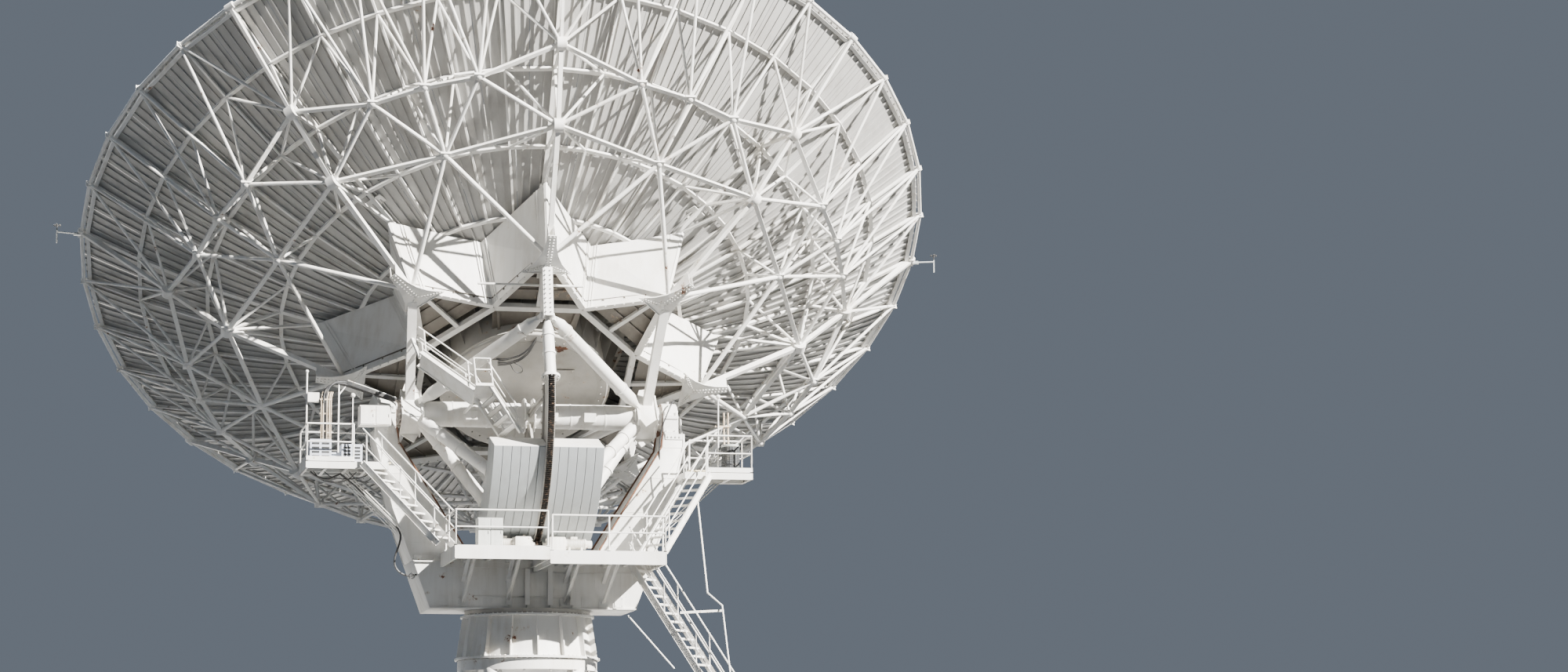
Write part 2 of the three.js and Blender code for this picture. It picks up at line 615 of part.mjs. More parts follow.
function makeYokeFrame() {
  const [foot, shoulder] = YOKE_OUTER;
  const outline = [foot, shoulder, [-shoulder[0], shoulder[1]], [-foot[0], foot[1]]];
  add(yoke, "yoke_base", slabXZ(outline, -BASE_HALF_DEPTH, BASE_HALF_DEPTH), paint);
  [-1, 1].forEach((side) => {
    const name = side < 0 ? "left" : "right";
    add(yoke, `yoke_arm_${name}`, armBody(side), paint);
    const [x0, x1] = BEARING_X.map((x) => side * x).sort((a, b) => a - b);
    const seat = YOKE_OUTER[4][1] + GAP;
    const block = box(x0, x1, -480, 480, seat, ELEVATION_HEIGHT);
    const cap = tube(V(x0, 0, ELEVATION_HEIGHT), V(x1, 0, ELEVATION_HEIGHT), 440, 0, 20);
    const bore = tube(V(x0 - 1, 0, ELEVATION_HEIGHT), V(x1 + 1, 0, ELEVATION_HEIGHT),
      PIN_RADIUS + BORE_CLEARANCE, 0, 24);
    add(yoke, `bearing_${name}`, fuse(block, cap).subtract(bore), paint);
  });
}

function makeRearPlatform() {
  const { left, middle, right, rear, front, leftZ, rightZ } = REAR_DECK;
  const railFront = -2060;
  const deck = (x0, x1, z) => [
    box(x0, x1, rear, front, z - DECK_THICKNESS, z),
    box(x0, x1, rear, rear + 60, z - FASCIA, z + 10),
    box(x0, x0 + 60, rear, front, z - FASCIA, z + 10),
    box(x1 - 60, x1, rear, front, z - FASCIA, z + 10),
  ];
  const face = -BASE_HALF_DEPTH;
  const bracket = (x, z) => {
    const low = bar(V(x, face + 200, YOKE_BOTTOM + 180), V(x, -3550, z - 60), square(90));
    const high = bar(V(x, face + 200, 9130), V(x, railFront + 50, z - 60), square(110));
    const joist = box(x - 50, x + 50, rear + 20, front, z - 180, z - 30);
    return fuse(low, high, joist).trimByPlane([0, -1, 0], -face + GAP);
  };
  const pieces = [
    ...deck(left, middle + 80, leftZ),
    ...deck(middle, right, rightZ),
    ...[-2000, -750].map((x) => bracket(x, leftZ)),
    ...[900, 2000].map((x) => bracket(x, rightZ)),
    ...railing([[left + 30, railFront], [left + 30, rear + 30], [middle - 60, rear + 30]], leftZ),
    ...railing([[middle + 60, rear + 30], [right - 30, rear + 30], [right - 30, rear + 380]], rightZ),
  ];
  add(yoke, "rear_platform", fuse(pieces), paint);
}

function sideFloor({ outer, rear, front, z }) {
  const [x0, x1] = [outer, Math.sign(outer) * 4000].sort((a, b) => a - b);
  return [x0, x1, rear, front, z - SIDE_FASCIA, z];
}

// What stands on the left platform: a post with a small box, and the cables that rise from the cooling
// units, arch over and run along a tray to the bearing. A hose follows a bracket down to the yoke's side.
const CABLE_RADIUS = 85;
const COOLER_HEIGHT = 650;
const CABLE_FOOT = V(-5950, -1050, LEFT_FLOOR.z + COOLER_HEIGHT + 2 * GAP);
const CABLE_ARCH = [V(-5950, -1050, 14250), V(-5890, -940, 14480), V(-5740, -780, 14660), V(-5520, -650, 14740),
  V(-5280, -610, 14730), V(-5050, -600, 14680)];
const TRAY = [V(-5250, -600, 14740), V(-3900, -600, 14290)];
const TRAY_SIZE = 160;
const SERVICE_POSTS = [V(-6420, -870, 15000), V(-5500, -640, 14740)];
const POST_SIZE = 50;
const HOSE_RADIUS = 28;
const HOSE_ROUTE = [V(-6290, -850, 12180), V(-6150, -850, 12060), V(-5850, -850, 11950), V(-5600, -820, 12060),
  V(-5400, -790, 12160), V(-3900, -790, 10720), V(-3780, -880, 10560), V(-3740, -960, 10380), V(-3800, -980, 10130),
  V(-3900, -990, 9850), V(-3930, -990, 9630), V(-3850, -985, 9440), V(-3680, -980, 9320), V(-3500, -970, 9280),
  V(-3300, -960, 9320)];

function leftServices() {
  const riser = tube(CABLE_FOOT, CABLE_ARCH[0], CABLE_RADIUS);
  const arch = sweep(CABLE_ARCH, polygon(8, CABLE_RADIUS));
  const tray = beam(...TRAY, TRAY_SIZE);
  const posts = SERVICE_POSTS.map((top) => rod(V(top.x, top.y, LEFT_FLOOR.z - POST_SIZE), top, POST_SIZE));
  const smallBox = box(-6400, -6075, -990, -810, 14140, 14400);
  const hose = sweep(HOSE_ROUTE, polygon(6, HOSE_RADIUS));
  return [riser, arch, tray, ...posts, smallBox, hose];
}

function makeSidePlatforms() {
  const sides = [[-1, LEFT_FLOOR, "left", [-700, 150]], [1, RIGHT_FLOOR, "right", [-800, -640]]];
  sides.forEach(([side, floor, name, bracketRows]) => {
    const { outer, rear, front, z } = floor;
    const gate = outer - side * 1320;
    const brackets = bracketRows.map((y) => {
      return beam(V(side * 5500, y, z - 60), V(side * 3700, y, 10600), 160);
    });
    const inset = 30 * side;
    const toe = (p, q, y0, y1) => {
      const [x0, x1] = [p, q].sort((a, b) => a - b);
      return box(x0, x1, y0, y1, z - 20, z + TOE_BOARD);
    };
    const toeBoards = [toe(gate, outer, rear, rear + 40), toe(outer, outer - side * 40, rear, front),
      toe(side * 4600, outer, front - 40, front)];
    const rails = railing([[gate, rear + 30], [outer - inset, rear + 30], [outer - inset, front - 30],
      [side * 4600, front - 30]], z, SIDE_RAIL_HEIGHT);
    const services = side < 0 ? leftServices() : [];
    const body = fuse(box(...sideFloor(floor)), ...brackets, ...rails, ...toeBoards, ...services)
      .subtract(armBody(side, GAP));
    add(yoke, `${name}_platform`, body, paint);
  });
}

function grownBox([x0, x1, y0, y1, z0, z1], grow = GAP) {
  return box(x0 - grow, x1 + grow, y0 - grow, y1 + grow, z0 - grow, z1 + grow);
}

function makeSideStairs() {
  const { left, right, rear, front, leftZ, rightZ, middle } = REAR_DECK;
  const leftDeck = [left, middle, rear, front, leftZ - FASCIA, leftZ + 10];
  const rightDeck = [middle, right, rear, front, rightZ - FASCIA, rightZ + 10];
  const place = [
    ["left", V(-4700, -1600, LEFT_FLOOR.z - 60), V(-2750, -3250, leftZ + 60), LEFT_FLOOR, leftDeck],
    ["right", V(4660, -1700, RIGHT_FLOOR.z - 60), V(2990, -3300, rightZ + 40), RIGHT_FLOOR, rightDeck],
  ];
  place.forEach(([name, top, bottom, floor, deck]) => {
    const body = flight(top, bottom)
      .subtract(grownBox(sideFloor(floor)))
      .subtract(grownBox(deck));
    add(yoke, `${name}_stair`, largest(body), paint);
  });
}

function makeAccessStair() {
  const { right, rear, front, rightZ } = REAR_DECK;
  const run = V(0.75, -0.66, 0);
  const top = V(2600, -2150, rightZ + 60);
  const under = rightZ - DECK_THICKNESS - GAP;
  const at = (distance, z) => top.clone().addScaledVector(run, distance).setZ(z);
  const landingZ = 5000;
  const [a, b] = [at(3450, landingZ), at(4350, landingZ)];
  const upper = flight(top, a);
  const lower = flight(b, at(7900, 450));
  const landing = bar(a.clone().addScaledVector(run, -120), b.clone().addScaledVector(run, 120),
    rectangle(160, STAIR_WIDTH + 60), 0);
  const fascia = [right - 60, right, rear, front, rightZ - FASCIA, rightZ];
  const body = fuse(upper, landing, lower).trimByPlane([0, 0, -1], -under).subtract(grownBox(fascia));
  add(yoke, "access_stair", largest(body), paint);
}

// Machines and cabinets on the platforms
function makeMachines() {
  const angle = deg(PINION_ANGLE);
  const reach = GEAR_RADIUS + PINION_RADIUS + 8;
  const pinion = V(0, -reach * Math.cos(angle), ELEVATION_HEIGHT - reach * Math.sin(angle));
  const { leftZ, rightZ, rear } = REAR_DECK;
  [[-1, leftZ], [1, rightZ]].forEach(([side, deckZ]) => {
    const at = (x, y, z) => V(side * x, pinion.y + y, z);
    const shaft = tube(at(5, 0, pinion.z), at(420, 0, pinion.z), PINION_RADIUS, 0, 12);
    const [x0, x1] = [side * 250, side * 720].sort((p, q) => p - q);
    const gearbox = box(x0, x1, pinion.y - 420, pinion.y + 200, deckZ + GAP, pinion.z + 230);
    const motor = tube(at(700, -120, pinion.z + 40), at(1350, -120, pinion.z + 40), 150, 0, 12);
    const fan = tube(at(1340, -120, pinion.z + 40), at(1500, -120, pinion.z + 40), 110, 0, 10);
    const foot = box(...[side * 950, side * 1200].sort((p, q) => p - q), pinion.y - 220, pinion.y - 20,
      deckZ + GAP, pinion.z);
    add(yoke, `elevation_drive_${side < 0 ? "left" : "right"}`, fuse(shaft, gearbox, motor, fan, foot), paint);
  });
  const cabinetX = -1950;
  const cabinet = box(cabinetX, cabinetX + 720, -3500, -3050, leftZ + GAP, leftZ + 820);
  add(yoke, "control_cabinet", cabinet, cabinetPaint);
  const floor = LEFT_FLOOR.z + GAP;
  const coolers = fuse(
    box(-6380, -5760, -1500, -900, floor, floor + COOLER_HEIGHT),
    box(-5500, -4900, -1500, -900, floor, floor + 520),
    box(-5800, -5450, -1350, -1050, floor, floor + 300),
  );
  add(yoke, "cooling_units", coolers, cabinetPaint);
  add(yoke, "junction_cabinet", box(-4950, -4050, -1050, -480 - GAP, YOKE_OUTER[4][1] + GAP, 14080), paint);
  const [coolerX, coolerY] = [5690, -1180];
  const cooler = turned([[0, 0], [250, 0], [270, 60], [270, 820], [240, 880], [0, 880]], 20)
    .translate([coolerX, coolerY, RIGHT_FLOOR.z + GAP]);
  add(yoke, "round_cooler", cooler, darkGrille);
}

// Pedestal
function makePedestal() {
  const ringTop = YOKE_BOTTOM - RUNNING_GAP;
  const ring = turned([[1200, 8230 + GAP], [RING_RADIUS, 8230 + GAP], [RING_RADIUS, ringTop], [1200, ringTop]], 32);
  add(pedestal, "azimuth_bearing", ring, agedPaint);
  const drum = turned([[0, DRUM_BOTTOM[1]], [2060, DRUM_BOTTOM[1]], [2060, 7040], [DRUM_BOTTOM[0] - 60, 7040],
    [DRUM_TOP[0] - 60, DRUM_TOP[1]], [1900, DRUM_TOP[1]], [1900, 8230], [0, 8230]], 16);
  const ribs = Array.from({ length: 16 }, (_, i) => {
    const angle = deg(22.5 * i);
    const out = V(Math.cos(angle), Math.sin(angle), 0);
    const outline = [[1500, 7020], [2035, 7020], [1860, 8200], [1500, 8200]];
    return extrude(outline, 30, out, V(0, 0, 1), out.clone().cross(V(0, 0, 1)).multiplyScalar(-15));
  });
  add(pedestal, "pedestal_drum", fuse(drum, ...ribs), paint);
  const onCircle = (radius, angle, z) => V(radius * Math.cos(deg(angle)), radius * Math.sin(deg(angle)), z);
  const pieces = [];
  [270, 30, 150].forEach((angle) => {
    const foot = onCircle(FOOT_CIRCLE, angle, 560);
    [-49, 49].forEach((turn) => {
      const head = onCircle(1650, angle + turn, DRUM_BOTTOM[1]);
      pieces.push(bar(foot, head, polygon(10, LEG_RADIUS, turn < 0 ? 0.1 : 0.4), 150));
    });
    const next = onCircle(FOOT_CIRCLE, angle + 120, 560);
    pieces.push(bar(foot, next, rectangle(380, 320)));
    const shoe = bar(foot.clone().setZ(0), foot.clone().setZ(780), polygon(8, 780, Math.PI / 8), 0, V(1, 0, 0));
    pieces.push(shoe);
  });
  pieces.push(turned([[1150, 6650], [2000, 6650], [2000, DRUM_BOTTOM[1] - GAP], [1150, DRUM_BOTTOM[1] - GAP]], 16));
  const frame = fuse(pieces).trimByPlane([0, 0, -1], -DRUM_BOTTOM[1] + GAP);
  add(pedestal, "leg_frame", frame, paint);
}

makePanels();
makeHub();
makeBackStructure();
makeElevationParts();
makeHubStair();
makeFeed();
makeAnemometers();
makeYokeFrame();
makeRearPlatform();
makeSidePlatforms();
makeSideStairs();
makeAccessStair();
makeMachines();
makePedestal();

export default root;
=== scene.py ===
"""A radio telescope dish antenna: steel lattice, panels, yoke, platforms and pedestal."""
import math

import bmesh
import bpy
from mathutils import Matrix, Vector


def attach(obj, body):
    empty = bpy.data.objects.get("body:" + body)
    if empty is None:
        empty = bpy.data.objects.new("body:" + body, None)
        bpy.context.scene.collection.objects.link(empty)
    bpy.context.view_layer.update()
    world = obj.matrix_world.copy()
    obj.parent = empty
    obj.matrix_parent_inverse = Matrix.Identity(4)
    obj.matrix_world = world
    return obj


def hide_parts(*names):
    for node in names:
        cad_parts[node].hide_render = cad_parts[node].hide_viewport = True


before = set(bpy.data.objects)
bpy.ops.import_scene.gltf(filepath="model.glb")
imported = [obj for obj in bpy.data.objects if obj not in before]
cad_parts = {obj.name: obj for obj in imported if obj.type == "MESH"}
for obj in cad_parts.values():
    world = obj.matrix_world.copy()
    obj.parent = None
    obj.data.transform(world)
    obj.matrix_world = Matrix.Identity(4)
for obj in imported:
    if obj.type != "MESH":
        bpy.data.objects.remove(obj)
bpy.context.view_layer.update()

# Places and sizes, in metres; the dish is a paraboloid of panel rings that meet at the joints
AXIS_Y = -3.3035
AXIS_HEIGHT = 14.0
TILT = math.radians(54.24 - 90)
MAST = Matrix.Translation((0, AXIS_Y, 0))
DISH = Matrix.Translation((0, AXIS_Y, AXIS_HEIGHT)) @ Matrix.Rotation(TILT, 4, "X")
RIM = 12.5
FOCUS = 9.0
VERTEX = 7.07 - RIM**2 / (4 * FOCUS)
JOINTS = [1.2, 2.9, 4.8, 6.9, 9.0, 10.95, RIM]
PANELS = [12, 16, 24, 40, 40, 40]
STIFFENERS = [4, 6, 6, 5, 6, 7]
SKIN = 0.012
HAT = 0.055
HAT_SHARE = 0.07
X = Vector((1, 0, 0))
Y = Vector((0, 1, 0))
UP = Vector((0, 0, 1))
REAR = -UP

# The body that a piece rides on, and where its own origin is
REFLECTOR = ("reflector", DISH)
YOKE = ("yoke", MAST)
PEDESTAL = ("pedestal", MAST)
CAD_YOKE = ("yoke", Matrix.Identity(4))
PIN = ("reflector", MAST)
BOTH_SIDES = ((-1, "left"), (1, "right"))


# The reflecting surface at a radius, on the dish axis
def depth_at(r):
    return VERTEX + r * r / (4 * FOCUS)


# A level direction from its angle in degrees
def heading(angle):
    t = math.radians(angle)
    return Vector((math.cos(t), math.sin(t), 0))


# A point of the dish from its radius, its angle and its height on the dish axis; 90 degrees is its upper edge
def dish(r, angle, a):
    t = math.radians(angle)
    return Vector((r * math.cos(t), -r * math.sin(t), a))


# The camera of the photograph
def make_camera():
    yaw, pitch, roll = 0.2329, 0.1501, 0.0066
    spot = (-15.2315, -96.1307 + AXIS_Y, 1.6)
    ahead = Vector((math.sin(yaw) * math.cos(pitch), math.cos(yaw) * math.cos(pitch), math.sin(pitch)))
    right = Vector((math.cos(yaw), -math.sin(yaw), 0))
    down = ahead.cross(right)
    x = right * math.cos(roll) + down * math.sin(roll)
    y = right * math.sin(roll) - down * math.cos(roll)
    data = bpy.data.cameras.new("camera")
    data.lens = 78.13
    data.sensor_width = 36
    data.clip_end = 800
    camera = bpy.data.objects.new("camera", data)
    turn = Matrix((x, y, -ahead)).transposed().to_4x4()
    camera.matrix_world = Matrix.Translation(spot) @ turn
    bpy.context.collection.objects.link(camera)
    bpy.context.scene.camera = camera


# Shader arithmetic on sockets
class Value:
    def __init__(self, finish, socket):
        self.finish = finish
        self.socket = socket

    def maths(self, operation, *terms):
        inputs = {i: term for i, term in enumerate(terms)}
        return self.finish.node("Math", {"operation": operation}, inputs)

    def __add__(self, other):
        return self.maths("ADD", self, other)

    def __mul__(self, other):
        return self.maths("MULTIPLY", self, other)

    def __sub__(self, other):
        return self.maths("SUBTRACT", self, other)

    def __rsub__(self, other):
        return self.maths("SUBTRACT", other, self)

    def soften(self, low, high):
        settings = {"interpolation_type": "SMOOTHSTEP", "clamp": True}
        return self.finish.node("MapRange", settings, {0: self, 1: low, 2: high})


# A material and the nodes that vary it
class Finish:
    def __init__(self, name, **constants):
        self.material = bpy.data.materials.new(name)
        self.material.use_nodes = True
        self.tree = self.material.node_tree
        self.shader = self.tree.nodes["Principled BSDF"]
        for key, value in constants.items():
            self.shader.inputs[key.replace("_", " ")].default_value = value
        self.place = self.node("TexCoord", output="Object")

    def node(self, kind, settings=None, inputs=None, output=0):
        node = self.tree.nodes.new("ShaderNode" + kind)
        for key, value in (settings or {}).items():
            setattr(node, key, value)
        for key, value in (inputs or {}).items():
            if isinstance(value, Value):
                self.tree.links.new(value.socket, node.inputs[key])
            else:
                node.inputs[key].default_value = value
        return Value(self, node.outputs[output])

    def stretched(self, x, y, z):
        return self.node("Mapping", None, {"Vector": self.place, "Scale": (x, y, z)})

    def noise(self, scale, detail=4.0, where=None, roughness=0.55):
        inputs = {"Vector": where or self.place, "Scale": scale, "Detail": detail, "Roughness": roughness}
        return self.node("TexNoise", None, inputs)

    def mix(self, share, a, b):
        a, b = (end if isinstance(end, Value) else (*end, 1.0) for end in (a, b))
        inputs = {"Factor": share, 6: a, 7: b}
        return self.node("Mix", {"data_type": "RGBA"}, inputs, output=2)

    def bump(self, height, strength, distance):
        inputs = {"Height": height, "Strength": strength, "Distance": distance}
        return self.node("Bump", None, inputs)

    def drive(self, **links):
        for key, value in links.items():
            self.tree.links.new(value.socket, self.shader.inputs[key.replace("_", " ")])
        return self.material


# Painted steel: fine dirt, faint streaks down the faces, and rust where the paint has let go
def painted(name, clean, dirt, rust, scale=1.0, roughness=0.5):
    f = Finish(name, Metallic=0.0, IOR=1.45)
    ease = 0.06 * rust
    clouds = f.noise(0.9 * scale, 5.0)
    streaks = f.noise(1.0, 3.0, f.stretched(5 * scale, 5 * scale, 0.5 * scale))
    grime = (clouds * 0.6 + streaks * 0.5).soften(0.45, 0.85)
    tone = f.mix(grime, clean, dirt)
    spots = f.noise(3.1 * scale, 7.0, roughness=0.7)
    patches = f.noise(0.55 * scale, 2.0)
    wear = spots + patches * 0.35
    mask = wear.soften(0.86 - ease, 0.9 - ease)
    halo = wear.soften(0.79 - ease, 0.9 - ease)
    stained = f.mix(halo * 0.5, tone, (0.52, 0.4, 0.27))
    rusty = f.mix(mask, stained, (0.13, 0.05, 0.028))
    fine = f.noise(38 * scale, 3.0)
    relief = f.bump(fine * 0.3 - mask * 0.6, 0.25, 0.004)
    rough = grime * 0.2 + mask * 0.3 + (roughness - 0.05)
    return f.drive(Base_Color=rusty, Roughness=rough, Normal=relief)


# Plates whose paint has mostly gone
def rusted(name):
    f = Finish(name, IOR=1.45)
    flakes = f.noise(2.2, 6.0, roughness=0.7)
    tone = f.mix(flakes.soften(0.4, 0.6), (0.16, 0.07, 0.035), (0.05, 0.024, 0.016))
    paint = f.noise(1.1, 4.0).soften(0.56, 0.62)
    shade = f.mix(paint, tone, (0.56, 0.5, 0.42))
    relief = f.bump(flakes + paint * 0.4, 0.5, 0.006)
    return f.drive(Base_Color=shade, Roughness=0.85 - paint * 0.25, Normal=relief)


def greased(name):
    f = Finish(name, IOR=1.5)
    film = f.noise(3.0, 5.0)
    dust = f.noise(14.0, 4.0).soften(0.5, 0.75)
    shade = f.mix(dust, (0.012, 0.011, 0.01), (0.12, 0.07, 0.04))
    relief = f.bump(film * 0.6 + dust * 0.4, 0.4, 0.004)
    rough = film * 0.3 + dust * 0.3 + 0.15
    return f.drive(Base_Color=shade, Roughness=rough, Metallic=0.7 - dust * 0.5, Normal=relief)


def rubber(name):
    f = Finish(name, IOR=1.5)
    dust = f.noise(5.0, 4.0).soften(0.45, 0.8)
    shade = f.mix(dust, (0.014, 0.015, 0.017), (0.07, 0.066, 0.06))
    return f.drive(Base_Color=shade, Roughness=dust * 0.25 + 0.5, Normal=f.bump(f.noise(60.0), 0.2, 0.002))


def grille(name):
    f = Finish(name, IOR=1.45)
    rows = f.node("TexWave", {"wave_type": "BANDS", "bands_direction": "Z", "wave_profile": "SIN"},
                  {"Vector": f.place, "Scale": 9.0, "Distortion": 0.0})
    shade = f.mix(rows.soften(0.3, 0.7), (0.028, 0.03, 0.033), (0.085, 0.09, 0.095))
    dirt = f.mix(f.noise(4.0).soften(0.5, 0.8), shade, (0.16, 0.15, 0.13))
    return f.drive(Base_Color=dirt, Roughness=rows * 0.15 + 0.6, Normal=f.bump(rows, 0.6, 0.01))


def galvanised(name):
    f = Finish(name, IOR=1.5)
    spangle = f.node("TexVoronoi", {"feature": "F1"}, {"Vector": f.place, "Scale": 40.0})
    shade = f.mix(spangle.soften(0.2, 0.8), (0.5, 0.52, 0.53), (0.36, 0.38, 0.39))
    return f.drive(Base_Color=shade, Metallic=0.85 - spangle * 0.1, Roughness=spangle * 0.25 + 0.4,
                   Normal=f.bump(f.noise(30.0), 0.15, 0.002))


# For each paint, its material and its slot in the record
def make_paints():
    white = {
        "white": painted("weathered_white_paint", (0.8, 0.79, 0.76), (0.62, 0.59, 0.53), 0.05),
        "lattice": painted("lattice_paint", (0.83, 0.82, 0.79), (0.64, 0.6, 0.53), 0.2),
        "rail": painted("rail_paint", (0.84, 0.83, 0.8), (0.66, 0.62, 0.55), 0.1, 2),
    }
    aged_and_shaded = {
        # This paint is the white at about half its brightness: partly aged paint, partly painted shade on the
        # vertex room, the gear web, the pin ends and the turning ring
        "aged_and_shaded": painted("aged_white_paint", (0.42, 0.405, 0.375), (0.31, 0.285, 0.245), 0.3, 0.7),
        # The beige floor paint is darkened far below its own tone: partly dirt, partly painted shade of the
        # recess behind the hub plates
        "dirty_shaded_beige": painted("dirty_shaded_beige_floor_paint", (0.15, 0.135, 0.115), (0.1, 0.085, 0.07), 0.0),
        "yellow": painted("yellowed_plate", (0.78, 0.69, 0.46), (0.6, 0.5, 0.33), 0.2, 2),
        "rusty": rusted("rusted_edge"),
    }
    cabinet = {
        "cabinet": painted("cabinet_paint", (0.5, 0.52, 0.5), (0.36, 0.36, 0.33), 0.0, 2),
        "unit": painted("lavender_enamel", (0.5, 0.53, 0.6), (0.42, 0.43, 0.46), -0.3, 2),
        "conduit": painted("beige_conduit", (0.56, 0.46, 0.34), (0.4, 0.31, 0.22), -0.5, 3),
    }
    panel = {
        "panel": painted("panel_back_paint", (0.41, 0.405, 0.39), (0.32, 0.305, 0.285), -0.6, 1, 0.42),
        "front": painted("mirror_paint", (0.84, 0.84, 0.82), (0.74, 0.73, 0.7), -1.0),
    }
    dark = {"rubber": rubber("black_rubber"), "grille": grille("dark_louvres")}
    grey = {"weight": painted("counterweight_paint", (0.32, 0.34, 0.35), (0.27, 0.28, 0.28), -0.3)}
    machine = {"cream": painted("machine_enamel", (0.74, 0.73, 0.68), (0.5, 0.45, 0.38), 0.7, 2)}
    slots = {
        "white_paint": white, "aged_white_paint": aged_and_shaded, "cabinet_paint": cabinet, "panel_paint": panel,
        "dark_grille": dark, "grey_paint": grey, "machine_paint": machine,
        "greased_steel": {"grease": greased("greased_steel")},
        "galvanised_steel": {"steel": galvanised("galvanised_steel")},
    }
    return {paint: (made[paint], slot) for slot, made in slots.items() for paint in made}


# Pieces
def finish_piece(name, bm, paint, on, *replaces, sharp=32):
    body, place = on
    material, slot = PAINTS[paint]
    bmesh.ops.transform(bm, matrix=place, verts=bm.verts)
    bmesh.ops.recalc_face_normals(bm, faces=bm.faces)
    mesh = bpy.data.meshes.new(name)
    bm.to_mesh(mesh)
    bm.free()
    mesh.materials.append(material)
    mesh.shade_smooth()
    mesh.set_sharp_from_angle(angle=math.radians(sharp))
    piece = bpy.data.objects.new(name, mesh)
    bpy.context.collection.objects.link(piece)
    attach(piece, body)
    if replaces:
        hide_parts(*replaces)


def along(a, b, side=UP):
    """A frame at the middle of a and b with Z along them and X as near as it can be to side."""
    z = (b - a).normalized()
    if abs(z.dot(side)) > 0.98:
        side = X
    x = (side - z * side.dot(z)).normalized()
    y = z.cross(x)
    turn = Matrix((x, y, z)).transposed().to_4x4()
    return Matrix.Translation((a + b) / 2) @ turn


def cone(bm, a, b, radius, end_radius, sides, over=0.0):
    a, b = Vector(a), Vector(b)
    bmesh.ops.create_cone(bm, cap_ends=True, segments=sides, radius1=radius, radius2=end_radius,
                          depth=(b - a).length + 2 * over, matrix=along(a, b))


def tube(bm, a, b, radius, sides=10, over=0.0):
    cone(bm, a, b, radius, radius, sides, over)


def block(bm, middle, size, turn=None):
    place = Matrix.Translation(middle) @ (turn or Matrix.Identity(4)) @ Matrix.Diagonal((*size, 1))
    bmesh.ops.create_cube(bm, size=1, matrix=place)


def box(bm, low, high):
    low, high = Vector(low), Vector(high)
    block(bm, (low + high) / 2, high - low)


# A rectangular bar, its first size measured along side
def bar(bm, a, b, size, side=UP, over=0.0):
    a, b = Vector(a), Vector(b)
    place = along(a, b, side) @ Matrix.Diagonal((size[0], size[1], (b - a).length + 2 * over, 1))
    bmesh.ops.create_cube(bm, size=1, matrix=place)


# A cable through points, smoothed once
def cable(bm, points, radius, sides=8):
    line = [Vector(p) for p in points]
    round_line = [line[0]]
    for a, b in zip(line, line[1:]):
        round_line += [a.lerp(b, 0.25), a.lerp(b, 0.75)]
    round_line.append(line[-1])
    for a, b in zip(round_line, round_line[1:]):
        tube(bm, a, b, radius, sides, radius * 0.35)


def ball(bm, at, radius, detail=1):
    bmesh.ops.create_icosphere(bm, subdivisions=detail, radius=radius, matrix=Matrix.Translation(at))


# The vertices among what an operator made
def verts_in(geom):
    return [v for v in geom if isinstance(v, bmesh.types.BMVert)]


# Repeats what is in bm all the way round the dish axis
def copies_round(bm, count):
    geom = bm.verts[:] + bm.edges[:] + bm.faces[:]
    bmesh.ops.spin(bm, geom=geom, cent=(0, 0, 0), axis=UP, angle=2 * math.pi * (count - 1) / count,
                   steps=count - 1, use_duplicate=True)


# One panel: a curved skin with hat-shaped stiffeners down its back
def panel(inner, outer, count, stiffeners):
    bm = bmesh.new()
    columns, rows, gap = 2 * stiffeners + 1, 3, 0.006
    bmesh.ops.create_grid(bm, x_segments=columns, y_segments=rows, size=0.5)
    hats = [f for f in bm.faces if int((f.calc_center_median().x + 0.5) * columns) % 2]
    pitch = 2 * math.pi / count
    for v in bm.verts:
        line = round((v.co.x + 0.5) * columns)
        side = HAT_SHARE if line % 2 == 0 else -HAT_SHARE
        share = ((line - 1) // 2 + 0.5 + side) / stiffeners
        share = min(max(share, 0.0), 1.0) if 0 < line < columns else line / columns
        r = inner + gap + (v.co.y + 0.5) * (outer - inner - 2 * gap)
        t = (share - 0.5) * (pitch - 2 * gap / r)
        v.co = Vector((r * math.cos(t), -r * math.sin(t), depth_at(r) - SKIN))
    front = bmesh.ops.extrude_face_region(bm, geom=bm.faces[:], use_keep_orig=True)["geom"]
    bmesh.ops.translate(bm, vec=(0, 0, SKIN), verts=verts_in(front))
    lifted = bmesh.ops.extrude_face_region(bm, geom=hats)["geom"]
    bmesh.ops.translate(bm, vec=(0, 0, -HAT), verts=verts_in(lifted))
    return bm


def make_panels():
    for i, (count, stiffeners) in enumerate(zip(PANELS, STIFFENERS)):
        bm = panel(JOINTS[i], JOINTS[i + 1], count, stiffeners)
        copies_round(bm, count)
        node = f"panel_ring_{i + 1}"
        finish_piece(f"reflector_panels_{i + 1}", bm, "panel", REFLECTOR, node, sharp=25)


# The lattice behind the dish, one eighth at a time
HUB_TIP = (5.19, 1.28)
INNER_CORNER = (8.46, 3.11)
INNER_MIDDLE = (7.86, 2.99)
OUTER_CORNER = (10.12, 4.63)
OUTER_MIDDLE = (9.72, 3.85)
RIM_NODE = (12.6, 6.94)
CHORD_DROP = SKIN + HAT + 0.05
LAST_HOOP = 12.42
LIGHT_RIB_END = 12.4


def lattice_point(node, angle):
    return dish(node[0], angle, node[1])


def chord_point(r, angle):
    return dish(r, angle, depth_at(r) - CHORD_DROP)


